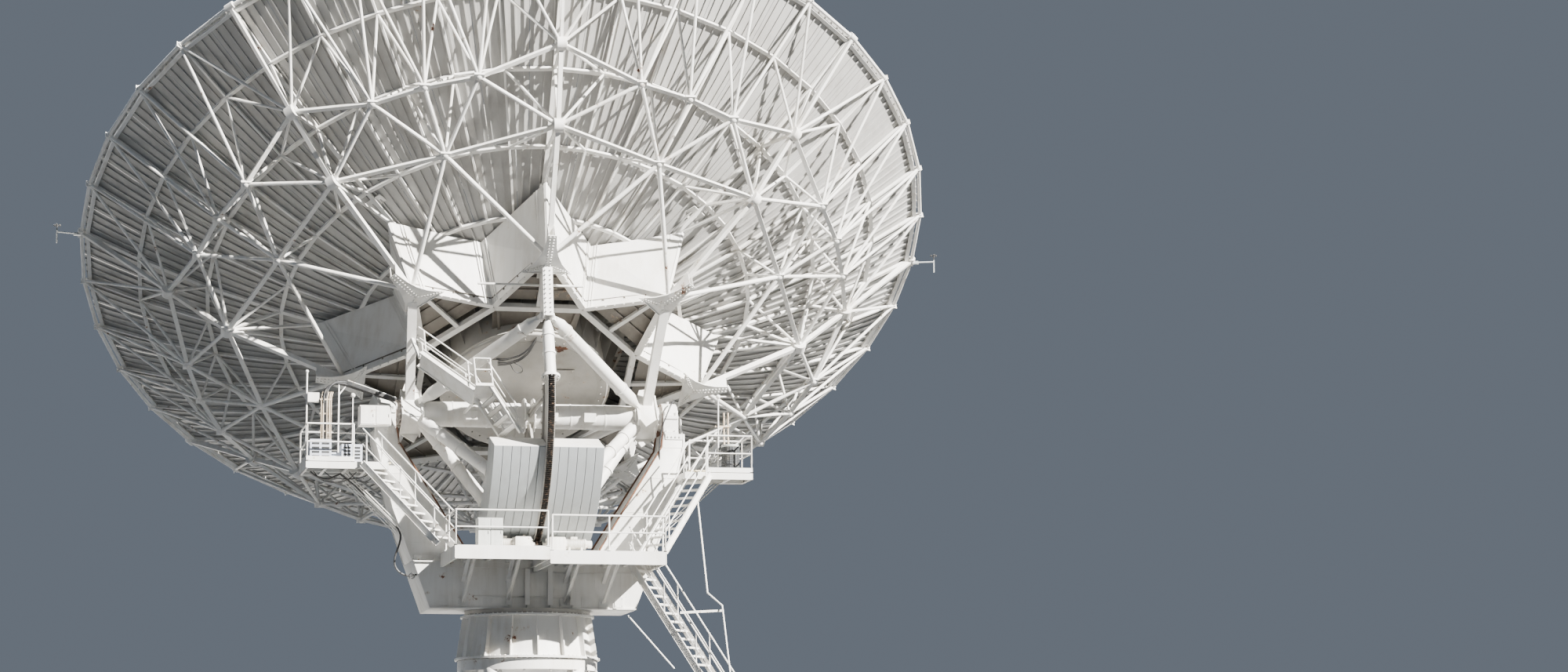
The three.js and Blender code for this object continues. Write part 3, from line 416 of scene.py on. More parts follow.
def rib(bm, angle):
    """A main rib: two box chords with webs between them and rounded knuckles where the rings meet it."""
    side = dish(1, angle + 90, 0)
    rear = [lattice_point(node, angle) for node in (HUB_TIP, INNER_CORNER, OUTER_CORNER, RIM_NODE)]
    front = [chord_point(r, angle) for r in (5.6, 6.9, 9.0, 10.95, 12.45)]
    for a, b, size in zip(rear, rear[1:], ((0.13, 0.15), (0.12, 0.13), (0.09, 0.11))):
        bar(bm, a, b, size, side)
    for a, b in zip(front, front[1:]):
        bar(bm, a, b, (0.12, 0.09), side, 0.03)
    for i, j in [(0, 0), (1, 0), (1, 1), (1, 2), (2, 2), (2, 3), (2, 4), (3, 4)]:
        bar(bm, rear[i], front[j], (0.07, 0.08), side)
    for at, radius in ((rear[1], 0.2), (rear[2], 0.2), (rear[3], 0.1)):
        tube(bm, at - side * 0.13, at + side * 0.13, radius, 20)
        tube(bm, at - side * 0.17, at + side * 0.17, radius * 0.3, 8)


def eighth(start):
    bm = bmesh.new()
    at = lambda node, angle: lattice_point(node, start + angle)
    front = lambda r, angle: chord_point(r, start + angle)
    rib(bm, start)
    outer = [at(OUTER_CORNER, 0), at(OUTER_MIDDLE, 13.5), at(OUTER_MIDDLE, 22.5), at(OUTER_MIDDLE, 31.5),
             at(OUTER_CORNER, 45)]
    inner = [at(INNER_CORNER, 0), at(INNER_MIDDLE, 22.5), at(INNER_CORNER, 45)]
    rim = [at(RIM_NODE, 9 * i) for i in range(6)]
    for ring in (outer, inner):
        for a, b in zip(ring, ring[1:]):
            bar(bm, a, b, (0.08, 0.12), REAR)
    for a, b in zip(rim, rim[1:]):
        tube(bm, a, b, 0.055)
    # Front hoops and the light ribs just behind the panels
    for r in JOINTS[2:]:
        r = min(r, LAST_HOOP)
        for i in range(5):
            bar(bm, front(r, 9 * i), front(r, 9 * i + 9), (0.08, 0.11), REAR, 0.02)
    for i in range(1, 5):
        side = dish(1, start + 9 * i + 90, 0)
        for r, s in zip(JOINTS[2:], JOINTS[3:]):
            bar(bm, front(r, 9 * i), front(min(s, LIGHT_RIB_END), 9 * i), (0.06, 0.09), side)
        bar(bm, front(LIGHT_RIB_END, 9 * i), rim[i], (0.07, 0.07), side)
    # Diagonals in the rear surface
    for node, ends in zip(outer, ((1,), (1, 2), (2, 3), (3, 4), (4,))):
        for k in ends:
            tube(bm, node, rim[k], 0.045)
    for i, k in ((0, 1), (1, 1), (1, 2), (1, 3), (2, 3)):
        tube(bm, inner[i], outer[k], 0.055)
    for tip in (at(HUB_TIP, 0), at(HUB_TIP, 45)):
        tube(bm, inner[1], tip, 0.065, 12)
    # Struts from the rear nodes to the hoops
    outer_angles, inner_angles = ((9,), (9, 18), (18, 27), (27, 36), (36,)), ((9,), (18, 27), (36,))
    struts = [(node, (9.0, 10.95), angles) for node, angles in zip(outer, outer_angles)]
    struts += [(node, (6.9, 9.0), angles) for node, angles in zip(inner, inner_angles)]
    for node, hoops, angles in struts:
        for angle in angles:
            for r in hoops:
                tube(bm, node, front(r, angle), 0.042, 8)
    # Knuckles
    for node in (*outer[1:4], inner[1]):
        ball(bm, node, 0.11, 2)
        bar(bm, node - REAR * 0.03, node + REAR * 0.05, (0.28, 0.26), node)
    for i in range(1, 5):
        side = dish(1, start + 9 * i + 90, 0)
        tube(bm, rim[i] - side * 0.07, rim[i] + side * 0.07, 0.075, 12)
        bar(bm, rim[i] - side * 0.01, rim[i] + side * 0.01, (0.2, 0.2))
    return bm


def make_lattice():
    for i in range(8):
        nodes = [f"back_rib_{i + 1}", f"back_lattice_{i + 1}"]
        finish_piece(f"back_frame_{i + 1}", eighth(45 * i), "lattice", REFLECTOR, *nodes)


# A flat plate from its corners, as thick to each side of them
def plate(bm, corners, thickness):
    start = [bm.verts.new(Vector(c)) for c in corners]
    face = bm.faces.new(start)
    face.normal_update()
    half = face.normal * (thickness / 2)
    made = bmesh.ops.extrude_face_region(bm, geom=[face], use_keep_orig=True)["geom"]
    bmesh.ops.translate(bm, vec=-half, verts=start)
    bmesh.ops.translate(bm, vec=half, verts=verts_in(made))


def spaced(a, b, count):
    a, b = Vector(a), Vector(b)
    return [a.lerp(b, i / max(count - 1, 1)) for i in range(count)]


# Hexagon heads that stand on a face
def bolts(bm, points, normal, size=0.035):
    normal = Vector(normal).normalized()
    for p in points:
        cone(bm, p, p + normal * size, size * 0.8, size * 0.72, 6)


# A bolt at each corner of a plate that is square to the dish axis or to the y axis
def corner_bolts(bm, middle, across, high, normal, size):
    bolts(bm, [Vector(middle) + across * i + high * j for i in (-1, 1) for j in (-1, 1)], normal, size)


# Points round an axis
def ring_of(middle, axis, radius, count):
    turn = along(middle, middle + axis)
    turn.translation = middle
    angles = [2 * math.pi * i / count for i in range(count)]
    return [turn @ Vector((radius * math.cos(t), radius * math.sin(t), 0)) for t in angles]


# A flange ring round a tube, with its bolts
def flange(bm, middle, axis, radius, thickness=0.05, count=0, sides=32):
    axis = Vector(axis).normalized()
    tube(bm, middle - axis * thickness / 2, middle + axis * thickness / 2, radius, sides)
    if count:
        inner = radius - 0.05
        bolts(bm, ring_of(middle + axis * thickness / 2, axis, inner, count), axis, 0.03)
        bolts(bm, ring_of(middle - axis * thickness / 2, axis, inner, count), -axis, 0.03)


# Cuts a small bevel on the edges that are sharper than an angle
def soften(bm, width, segments=1, sharper=30):
    limit = math.radians(sharper)
    edges = [e for e in bm.edges if e.is_manifold and e.calc_face_angle(0) > limit]
    bmesh.ops.bevel(bm, geom=edges, offset=width, segments=segments, profile=0.5, affect="EDGES", material=-1,
                    clamp_overlap=True)


# A copy of a CAD node's own shape with softened edges
def softened(node, width, segments=1, sharper=25):
    bm = bmesh.new()
    bm.from_mesh(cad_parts[node].data)
    bmesh.ops.remove_doubles(bm, verts=bm.verts, dist=0.0002)
    bmesh.ops.dissolve_limit(bm, angle_limit=math.radians(0.6), verts=bm.verts, edges=bm.edges)
    soften(bm, width, segments, sharper)
    return bm


# The star-shaped hub: the radius of its tips and valleys, and their heights on the dish axis
STAR_REAR = (5.19, 3.4, 1.28, 1.28)
STAR_FRONT = (6.05, 4.15, 3.38, 3.14)
STAR_PLATE = 0.07
TIP_FLOOR = 1.5


def star_point(shape, i, inset=0.0):
    tip, valley, tip_a, valley_a = shape
    at_tip = i % 2 == 0
    return dish((tip if at_tip else valley) - inset, 22.5 * i, tip_a if at_tip else valley_a)


def make_hub():
    bm = bmesh.new()
    for i in range(16):
        rear = [star_point(STAR_REAR, j) for j in (i, i + 1)]
        front = [star_point(STAR_FRONT, j) for j in (i, i + 1)]
        out = (rear[1] - rear[0]).cross(front[0] - rear[0]).normalized()
        if out.dot((rear[0] + rear[1]) / 2) < 0:
            out = -out
        drop = out * STAR_PLATE / 2
        plate(bm, [p - drop for p in rear + front[::-1]], STAR_PLATE)
        a, b = rear
        span = (b - a).normalized()
        bar(bm, a - drop, b - drop, (0.2, 0.03), out)
        row = spaced(a + span * 0.5, b - span * 0.35, 7)
        bolts(bm, [p - drop + REAR * 0.015 + out * 0.06 for p in row], REAR)
        # Doubled strips, from the hub's tip and from the valley between two tips
        tip, valley = rear if i % 2 == 0 else rear[::-1]
        front_tip, front_valley = front if i % 2 == 0 else front[::-1]
        for share in (0.14, 0.175):
            low, high = tip.lerp(valley, share), front_tip.lerp(front_valley, share)
            bar(bm, low + out * 0.008, high + out * 0.008, (0.016, 0.05), out)
        inward = (tip - valley).normalized()
        for shift in (0.12, 0.2):
            low, high = valley + inward * shift, front_valley + inward * shift
            bar(bm, low + out * 0.01, high + out * 0.01, (0.02, 0.03), out)
    lift = UP * 0.1
    for k in range(8):
        left, right = star_point(STAR_REAR, 2 * k - 1, 0.12), star_point(STAR_REAR, 2 * k + 1, 0.12)
        tip = star_point(STAR_REAR, 2 * k, 0.25)
        bar(bm, left + lift, right + lift, (0.17, 0.17), REAR)
        bar(bm, (left + right) / 2 + lift, tip + lift * 2, (0.1, 0.12), REAR)
    sections = [f"hub_section_{i + 1}" for i in range(4)]
    finish_piece("hub_plates", bm, "white", REFLECTOR, *sections)
    make_tip_floors()
    make_gussets()
    make_room()
    make_stains()


def make_tip_floors():
    bm = bmesh.new()
    for k in range(8):
        angle = 45 * k
        tip = dish(5.3, angle, TIP_FLOOR)
        left, right = dish(3.52, angle - 22.5, TIP_FLOOR), dish(3.52, angle + 22.5, TIP_FLOOR)
        plate(bm, [tip, left, right], 0.02)
        for share in (0.3, 0.55, 0.8):
            bar(bm, tip.lerp(left, share) - UP * 0.03, tip.lerp(right, share) - UP * 0.03, (0.05, 0.04))
    for x in (-1.0, 0.0, 1.0):
        bar(bm, (x, -2.1, 1.36), (x * 1.15, -3.0, 1.36), (0.1, 0.08))
    plate(bm, [(-1.2, -2.1, 1.42), (1.2, -2.1, 1.42), (1.28, -3.05, 1.42), (-1.28, -3.05, 1.42)], 0.02)
    # The floors take the darkened beige: painted shade of the recess, with some dirt
    finish_piece("hub_floors", bm, "dirty_shaded_beige", REFLECTOR)


# Bolted plates where each main rib meets the hub: two arms to the corners and a folded one along the rib
GUSSET = [(4.63, 0.72), (4.8, 0.55), (5.0, 0.4), (5.3, 0.26)]
GUSSET_ARM = [(5.3, 0.26), (5.6, 0.17), (6.02, 0.12)]
GUSSET_LEVEL = 1.165
GUSSET_SLOPE = 0.12


def make_gussets():
    bm = bmesh.new()
    slope = Vector((1, 0, GUSSET_SLOPE)).normalized()
    height = lambda r: GUSSET_LEVEL + max(0.0, r - 5.3) * GUSSET_SLOPE
    for k in range(8):
        turn = Matrix.Rotation(-math.radians(45 * k), 4, "Z")
        at = lambda r, s: turn @ Vector((r, s, height(r)))
        out = turn @ slope.cross(Y)
        out = out if out.z < 0 else -out
        for outline in (GUSSET, GUSSET_ARM):
            plate(bm, [at(r, -s) for r, s in outline] + [at(r, s) for r, s in reversed(outline)], 0.03)
        for side in (-1, 1):
            s = side * 0.055
            bolts(bm, [p + REAR * 0.015 for p in spaced(at(4.98, s), at(5.27, s), 4)], REAR, 0.03)
            bolts(bm, [p + out * 0.015 for p in spaced(at(5.35, s), at(5.97, s), 7)], out, 0.03)
            for shift in (0.0, 0.09):
                row = spaced(at(4.93 - shift, 0.14 * side), at(4.7, (0.6 - shift) * side), 7)
                bolts(bm, [p + REAR * 0.015 for p in row], REAR, 0.03)
        bar(bm, at(4.66, -0.68), at(4.66, 0.68), (0.02, 0.09), turn @ X)
        web = [(5.2, height(5.2)), (6.0, height(6.0)), (6.0, 1.72), (5.3, 1.33)]
        for s in (-0.09, 0.09):
            plate(bm, [turn @ Vector((r, s, a)) for r, a in web], 0.014)
        tube(bm, at(4.9, 0), at(4.9, 0) - REAR * 0.12, 0.09, 12)
    finish_piece("hub_gussets", bm, "white", REFLECTOR)


# Thin rust that spreads over a plate from a seam
def stain(bm, middle, size):
    rim, sides = [], 26
    for i in range(sides):
        t = 2 * math.pi * i / sides
        ragged = 0.2 * math.sin(3 * t + 0.6) + 0.13 * math.sin(7 * t + 2.0) + 0.08 * math.sin(11 * t)
        reach = size * (0.72 + ragged)
        rim.append(middle + X * (math.cos(t) * reach * 1.5) - Y * (math.sin(t) * reach))
    plate(bm, rim, 0.006)


def make_stains():
    bm = bmesh.new()
    floor, room = TIP_FLOOR - 0.014, ROOM_REAR - 0.022
    for r, angle, level, size in ((3.86, 77.7, floor, 0.17), (3.7, 84.0, floor, 0.07), (2, 67.0, room, 0.15),
                                  (1.85, 78.0, room, 0.06)):
        stain(bm, dish(r, angle, level), size)
    finish_piece("rust_stains", bm, "rusty", REFLECTOR)
    bm = bmesh.new()
    tube(bm, dish(2.9, 48, TIP_FLOOR - 0.02), dish(2.9, 48, TIP_FLOOR + 0.1), 0.13, 20)
    finish_piece("cable_port", bm, "rubber", REFLECTOR)


# The round room at the dish's vertex
ROOM_RADIUS = 2.4
ROOM_REAR = 0.95


def make_room():
    bm = bmesh.new()
    tube(bm, (0, 0, ROOM_REAR), (0, 0, 2.8), ROOM_RADIUS, 72)
    soften(bm, 0.05, 3, 60)
    flange(bm, UP * 1.06, UP, ROOM_RADIUS + 0.07, 0.04, 0, 72)
    flange(bm, UP * 2.86, UP, 3.08, 0.07, 0, 72)
    for i in range(24):
        angle = 15 * i + 7.5
        plate(bm, [dish(2.38, angle, 1.3), dish(2.38, angle, 2.84), dish(3.0, angle, 2.84)], 0.02)
    flange(bm, UP * (ROOM_REAR - 0.005), UP, 2.1, 0.02, 0, 72)
    bolts(bm, ring_of(UP * ROOM_REAR, UP, 2.2, 48), REAR, 0.03)
    for x, y, w, h in ((0.9, 0.7, 0.8, 0.6), (-1.0, 1.1, 0.5, 0.5), (0.2, -1.75, 0.55, 0.4)):
        block(bm, (x, -y, ROOM_REAR - 0.03), (w, h, 0.05))
        corner_bolts(bm, (x, -y, ROOM_REAR - 0.055), X * w * 0.42, Y * h * 0.42, REAR, 0.02)
    tube(bm, (0, 0, 2.7), (0, 0, 2.9), 1.25, 48)
    finish_piece("equipment_room", bm, "aged_and_shaded", REFLECTOR, "vertex_room")
    bm = bmesh.new()
    for i in range(5):
        drop, sag = 0.07 * i, 0.02 * (i % 3)
        cable(bm, [(-1.02, -1.1 - drop, 0.93), (-0.8, -1.2 - drop, 0.84 - sag),
                   (-0.6, -1.34 - drop, 0.78 - sag), (-0.36, -1.5 - drop, 0.75 - sag),
                   (-0.12, -1.76 - drop, 0.82), (0.02, -2.12 - drop * 0.6, 0.93)], 0.013)
    cable(bm, [(-0.62, -1.3, 0.8), (-0.5, -1.1, 0.72), (-0.32, -1.02, 0.7), (-0.22, -1.14, 0.72),
               (-0.34, -1.3, 0.75), (-0.52, -1.36, 0.79)], 0.013)
    finish_piece("room_cables", bm, "rubber", REFLECTOR)


# What turns about the elevation axis; a counterweight has two radii and two angles in degrees
AXLE = 0.36
GEAR = 4.2
GEAR_ENDS = (-64, 59)
TEETH = 150
PINION_ANGLE = 64
PINION_RADIUS = 0.13
WEIGHT = (2.95, 4.02, -35, 21)


def swing(r, angle, x=0.0):
    """A point about the elevation axis, its angle from straight down with the dish at the zenith."""
    t = math.radians(angle)
    return Vector((x, r * math.sin(t), -r * math.cos(t)))


# A round strut: necked ends in forks, and ring collars
NECK = 0.45


def strut(bm, a, b, radius, neck=(True, True), collars=(0.82,)):
    a, b = Vector(a), Vector(b)
    line = (b - a).normalized()
    start = a + line * (NECK if neck[0] else 0.0)
    end = b - line * (NECK if neck[1] else 0.0)
    tube(bm, start, end, radius, 28)
    for at, way, wanted in ((start, -line, neck[0]), (end, line, neck[1])):
        if wanted:
            reach = at + way * 0.28
            cone(bm, at, reach, radius, radius * 0.55, 28)
            bar(bm, reach - way * 0.05, reach + way * 0.2, (radius * 1.1, 0.09))
    for share in collars:
        flange(bm, start.lerp(end, share), line, radius + 0.028, 0.05, 0, 28)


def make_trunnions():
    for side, name in BOTH_SIDES:
        at = lambda x, u, a: Vector((side * x, -u, a))
        out = X * side
        bm = bmesh.new()
        block(bm, at(3.4, 0, 0), (0.6, 0.86, 0.86))
        soften(bm, 0.035, 2)
        for x in (3.12, 3.68):
            block(bm, at(x, 0, 0), (0.04, 0.96, 0.96))
        for u in (-0.44, 0.44):
            plate(bm, [at(3.15, u, 0.42), at(3.65, u, 0.42), at(3.55, u, 0.75), at(3.25, u, 0.7)], 0.03)
            plate(bm, [at(3.15, u, -0.42), at(3.65, u, -0.42), at(3.3, u, -0.72)], 0.03)
        bolts(bm, [at(3.42 + 0.16 * i, 0.16 * j, 0.44) for i in (-1, 0, 1) for j in (-2, -1, 1, 2)], UP, 0.03)
        bolts(bm, ring_of(at(3.7, 0, 0), out, 0.4, 16), out, 0.04)
        tube(bm, at(3.68, 0, 0), at(3.855, 0, 0), 0.34, 40)
        tube(bm, at(3.68, 0, 0), at(4.27, 0, 0), 0.25, 40)
        foot, head = at(3.43, 0.2, 0.15), at(3.63, 3.62, 1.37)
        bar(bm, foot, head, (0.26, 0.22), out)
        for end in (foot, head):
            bar(bm, end - Y * 0.03, end + Y * 0.03, (0.4, 0.4), out)
        strut(bm, at(3.15, -0.15, 0.15), at(1.42, -3.13, 1.45), 0.13, (False, True), (0.2, 0.9))
        for angle in (-14, 12):
            end = swing(WEIGHT[0] + 0.1, angle, side * 1.28)
            strut(bm, at(3.2, 0, -0.15), end, 0.18, (False, False), (0.3, 0.55, 0.93))
        finish_piece(f"trunnion_{name}", bm, "white", REFLECTOR, f"trunnion_frame_{name}")
    bm = bmesh.new()
    tube(bm, (-3.1, 0, 0), (3.1, 0, 0), AXLE, 56)
    for x in (-3.07, 3.07):
        flange(bm, X * x, X, 0.44, 0.05, 18, 48)
    for x in (-2.2, -1.2, 1.2, 2.2):
        flange(bm, X * x, X, AXLE + 0.012, 0.05, 0, 56)
    for x in (-0.13, 0.13):
        flange(bm, X * x, X, 0.5, 0.04, 14, 48)
    for x in (-1.7, 0.62, 1.72):
        block(bm, (x, -0.26, -0.25), (0.34, 0.26, 0.26), Matrix.Rotation(math.radians(45), 4, "X"))
    soften(bm, 0.006)
    finish_piece("axle_tube", bm, "white", REFLECTOR, "elevation_axle")


def make_apex():
    bm = bmesh.new()
    apex = Vector((0, -4.05, 0.05))
    for x in (-0.12, 0.12):
        plate(bm, [(x, -5.05, 1.38), (x, -4.3, 1.38), (x, -3.8, 0.05), (x, -4.3, -0.16)], 0.035)
        bolts(bm, ring_of(apex + X * x * 1.15, X * x, 0.12, 6), X * x)
    bar(bm, (0, -5.05, 1.38), (0, -4.3, -0.16), (0.2, 0.03), X)
    for shift in (-0.07, 0.07):
        face = Vector((shift, -0.03, -0.02))
        bolts(bm, [p + face for p in spaced((0, -5.0, 1.28), (0, -4.35, -0.06), 12)], (0, -0.9, -0.44), 0.026)
    tube(bm, (-1.87, -4.15, 1.16), (1.12, -4.15, 1.16), 0.035, 12)
    bar(bm, (0, -5.05, 1.36), (0, -4.25, 1.36), (0.05, 0.4))
    tube(bm, (-0.2, -4.05, 0.05), (0.2, -4.05, 0.05), 0.09, 20)
    post = swing(3.94, GEAR_ENDS[0] + 1)
    strut(bm, apex, post, 0.165, (True, False), (0.12, 0.5))
    flange(bm, post, post - apex, 0.27, 0.07, 10)
    for side in (-1, 1):
        strut(bm, apex + X * side * 0.12, (side * 3.16, -0.42, 0.06), 0.185, (True, True), (0.08, 0.86))
    finish_piece("apex_tubes", bm, "white", REFLECTOR, "apex_frame")


# A closed section of radii and widths, swept round the elevation axis
def sweep(bm, section, start, end, steps):
    first = bm.faces.new([bm.verts.new(swing(r, start, x)) for r, x in section])
    turn = math.radians(end - start)
    bmesh.ops.spin(bm, geom=[first], cent=(0, 0, 0), axis=X, angle=turn, steps=steps)
    bm.faces.new([bm.verts.new(swing(r, end, x)) for r, x in section])


def make_gear():
    bm = bmesh.new()
    start, end = GEAR_ENDS
    for inner, outer, half in ((3.05, 4.12, 0.03), (3.05, 3.13, 0.09), (4.02, 4.145, 0.1)):
        sweep(bm, [(inner, -half), (outer, -half), (outer, half), (inner, half)], start, end, 60)
    bmesh.ops.remove_doubles(bm, verts=bm.verts, dist=0.0005)
    for angle in (-58, 0, 58):
        foot, tip = swing(0.3, angle), swing(3.2, angle)
        bar(bm, foot, tip, (0.03, 0.24), X)
        bar(bm, foot, tip, (0.14, 0.03), X)
    for i in range(21):
        angle = start + 3 + (end - start - 6) * i / 20
        for x in (-0.03, 0.03):
            bolts(bm, [swing(3.09, angle, x * 3.1), swing(3.9, angle, x * 1.1)], (x, 0, 0), 0.03)
    finish_piece("gear_web", bm, "aged_and_shaded", REFLECTOR, "sector_gear")
    bm = bmesh.new()
    step = math.radians((end - start - 1.2) / (TEETH - 1))
    tooth = bmesh.ops.create_cone(bm, cap_ends=True, segments=4, radius1=0.045, radius2=0.025, depth=0.062)
    tooth = tooth["verts"]
    bmesh.ops.rotate(bm, verts=tooth, cent=(0, 0, 0), matrix=Matrix.Rotation(math.radians(45), 3, "Z"))
    bmesh.ops.scale(bm, verts=tooth, vec=(3.0, 0.8, 1))
    middle = swing(4.168, start + 0.6)
    outward = middle.normalized() * 0.01
    bmesh.ops.transform(bm, matrix=along(middle - outward, middle + outward, X), verts=tooth)
    bmesh.ops.spin(bm, geom=bm.verts[:] + bm.edges[:] + bm.faces[:], cent=(0, 0, 0), axis=X,
                   angle=step * (TEETH - 1), steps=TEETH - 1, use_duplicate=True)
    finish_piece("gear_teeth", bm, "grease", REFLECTOR)


# Steps from the trunnion frame down to the counterweight, level when the dish looks up
def make_hub_stair():
    bm = bmesh.new()
    top, level = (-3.35, -2.2, 0.08), -1.33
    flight(bm, top, (-1.925, -2.2, level - 0.02), 0.5)
    flight(bm, (-1.7, -2.4, level - 0.025), (-0.88, -1.86, -2.62), 0.6)
    plate(bm, [(-3.35, -2.45, -0.02), (-3.35, -1.95, -0.02), (-1.97, -1.95, level - 0.1),
               (-1.97, -2.45, level - 0.1)], 0.012)
    box(bm, (-1.95, -2.73, level - 0.06), (-1.45, -1.94, level))
    for y in (-2.73, -1.94):
        bar(bm, (-1.95, y, level - 0.06), (-1.45, y, level - 0.06), (0.1, 0.02))
    rail = lambda x, share: (x, -2.71, level + RAIL_TOP * share)
    for x in (-1.93, -1.47):
        tube(bm, rail(x, 0), rail(x, 1), HAND_RAIL)
    for share in (KNEE_RAIL, 1):
        tube(bm, rail(-1.93, share), rail(-1.47, share), HAND_RAIL)
    bar(bm, top, (-3.56, -2.25, 0.9), (0.08, 0.08))
    for x, axle in ((-1.9, -1.9), (-1.5, -0.9)):
        start, end = Vector((x, -1.98, level - 0.04)), Vector((axle, 0, 0))
        bar(bm, start, start.lerp(end, 0.85), (0.06, 0.06))
    finish_piece("hub_steps", bm, "white", REFLECTOR, "hub_stair")


# The counterweights: cast slabs side by side, with a plate at each end and a pale cap
SLABS = 6
SLABS_START = 0.035
SLAB_WIDTH = (1.55 - SLABS_START) / SLABS
SLAB_GAP = 0.006
WEIGHT_MIDDLE = 0.79


def make_counterweights():
    inner, outer, start, end = WEIGHT
    for side, name in BOTH_SIDES:
        middle = side * WEIGHT_MIDDLE
        bm = bmesh.new()
        for i in range(SLABS):
            x0 = side * (SLABS_START + SLAB_WIDTH * i + SLAB_GAP)
            x1 = side * (SLABS_START + SLAB_WIDTH * (i + 1) - SLAB_GAP)
            sweep(bm, [(inner + 0.02, x0), (outer, x0), (outer, x1), (inner + 0.02, x1)], start, end, 18)
        bmesh.ops.remove_doubles(bm, verts=bm.verts, dist=0.0005)
        soften(bm, 0.008, 1, 40)
        for angle in (start + 0.4, end - 0.4):
            end_plate(bm, angle, middle, inner, outer - 0.03, 1.48, 0.05)
        finish_piece(f"weight_slabs_{name}", bm, "weight", REFLECTOR, f"counterweight_{name}")
        bm = bmesh.new()
        end_plate(bm, start, middle, inner + 0.05, outer - 0.02, 1.5, 0.035)
        soften(bm, 0.01)
        finish_piece(f"weight_cap_{name}", bm, "white", REFLECTOR)


def end_plate(bm, angle, middle, inner, outer, width, thickness):
    place = along(swing(inner, angle, middle), swing(outer, angle, middle), X)
    bmesh.ops.create_cube(bm, size=1, matrix=place @ Matrix.Diagonal((width, thickness, 1.0, 1)))


# The yoke
YOKE_BOTTOM = 8.37
BASE_TOP = 9.72
YOKE_REAR = -1.1
BEARING_X = 4.08
ARM_OUTER = [(3.416, BASE_TOP), (3.95, 11.2), (4.45, 13.2), (4.45, 13.5)]
ARM_INNER = [(1.858, BASE_TOP), (1.95, 10.1), (2.75, 11.4), (3.8, 13.1), (3.85, 13.5)]
ARM_DEPTH = [(BASE_TOP, 0.97), (12.4, 0.7), (13.5, 0.56)]


def arm_depth(z):
    for (z0, d0), (z1, d1) in zip(ARM_DEPTH, ARM_DEPTH[1:]):
        if z <= z1:
            return d0 + (d1 - d0) * (z - z0) / (z1 - z0)
    return ARM_DEPTH[-1][1]


def make_yoke():
    base = softened("yoke_base", 0.012, 2)
    finish_piece("yoke_box", base, "white", CAD_YOKE, "yoke_base")
    bm = bmesh.new()
    for x in (-0.72, -0.2, 0.45, 1.1):
        edge = YOKE_REAR - 0.17
        plate(bm, [(x, YOKE_REAR, 9.5), (x, edge, 9.5), (x, edge, 8.5), (x, YOKE_REAR, 8.42)], 0.02)
        bar(bm, (x, edge, 9.5), (x, edge, 8.48), (0.14, 0.02), X)
    for z, half in ((8.4, 2.95), (9.69, 3.38)):
        bar(bm, (-half, YOKE_REAR - 0.03, z), (half, YOKE_REAR - 0.03, z), (0.03, 0.09))
    for x in (-2.3, -1.35, 1.75, 2.5):
        bar(bm, (x, YOKE_REAR - 0.006, 8.45), (x, YOKE_REAR - 0.006, 9.65), (0.012, 0.018), Y)
    for x, z in ((-2.55, 8.6), (-1.3, 8.6), (1.5, 8.6), (2.45, 8.6)):
        block(bm, (x, YOKE_REAR - 0.012, z), (0.26, 0.024, 0.3))
        corner_bolts(bm, (x, YOKE_REAR - 0.024, z), X * 0.09, UP * 0.1, -Y, 0.02)
    for x in (-0.5, 0.75):
        tube(bm, (x - 1.2, YOKE_REAR - 0.05, 8.72), (x + 0.3, YOKE_REAR - 0.05, 8.72), 0.02, 8)
    finish_piece("yoke_stiffeners", bm, "white", YOKE)
    for side, name in BOTH_SIDES:
        arm = softened(f"yoke_arm_{name}", 0.014, 2)
        finish_piece(f"arm_{name}", arm, "white", CAD_YOKE, f"yoke_arm_{name}")
        make_arm_edges(side, name)
        bearing = softened(f"bearing_{name}", 0.012, 1, 40)
        finish_piece(f"bearing_block_{name}", bearing, "white", CAD_YOKE, f"bearing_{name}")
        make_bearing_cap(side, name)


# Edge plates of an arm, rusted along its inner side, with strips across its rear face and bolted ends
def make_arm_edges(side, name):
    bm = bmesh.new()
    for (x0, z0), (x1, z1) in zip(ARM_INNER, ARM_INNER[1:]):
        for face in (-1, 1):
            a = Vector((side * x0, face * (arm_depth(z0) - 0.03), z0))
            b = Vector((side * x1, face * (arm_depth(z1) - 0.03), z1))
            inward = (b - a).cross(Y).normalized()
            inward = -inward if inward.x * side > 0 else inward
            bar(bm, a + inward * 0.02, b + inward * 0.02, (0.1, 0.04), Y, 0.01)
    finish_piece(f"arm_edge_{name}", bm, "rusty", YOKE)
    bm = bmesh.new()
    for (x0, z0), (x1, z1) in zip(ARM_OUTER, ARM_OUTER[1:]):
        for face in (-1, 1):
            a = (side * (x0 - 0.01), face * (arm_depth(z0) - 0.01), z0)
            b = (side * (x1 - 0.01), face * (arm_depth(z1) - 0.01), z1)
            bar(bm, a, b, (0.07, 0.05), Y)
    for z, low in ((10.2, 2.02), (11.2, 2.65), (12.2, 3.25), (13.1, 3.8)):
        high = 3.416 + (z - BASE_TOP) * 0.36 if z < 11.2 else 3.95 + (z - 11.2) * 0.25
        y = -arm_depth(z) - 0.004
        bar(bm, (side * (low + 0.05), y, z), (side * (high - 0.04), y, z), (0.012, 0.02), Y)
    for z, x0, x1, count in ((9.8, 1.95, 3.38, 9), (13.42, 3.9, 4.4, 4)):
        for face in (-1, 1):
            y = face * (arm_depth(z) + 0.02)
            bar(bm, (side * x0, y, z), (side * x1, y, z), (0.04, 0.16), Y)
            ends = [(side * x, y + face * 0.02, z) for x in (x0 + 0.08, x1 - 0.08)]
            bolts(bm, spaced(*ends, count), Y * face, 0.035)
    finish_piece(f"arm_trim_{name}", bm, "white", YOKE)


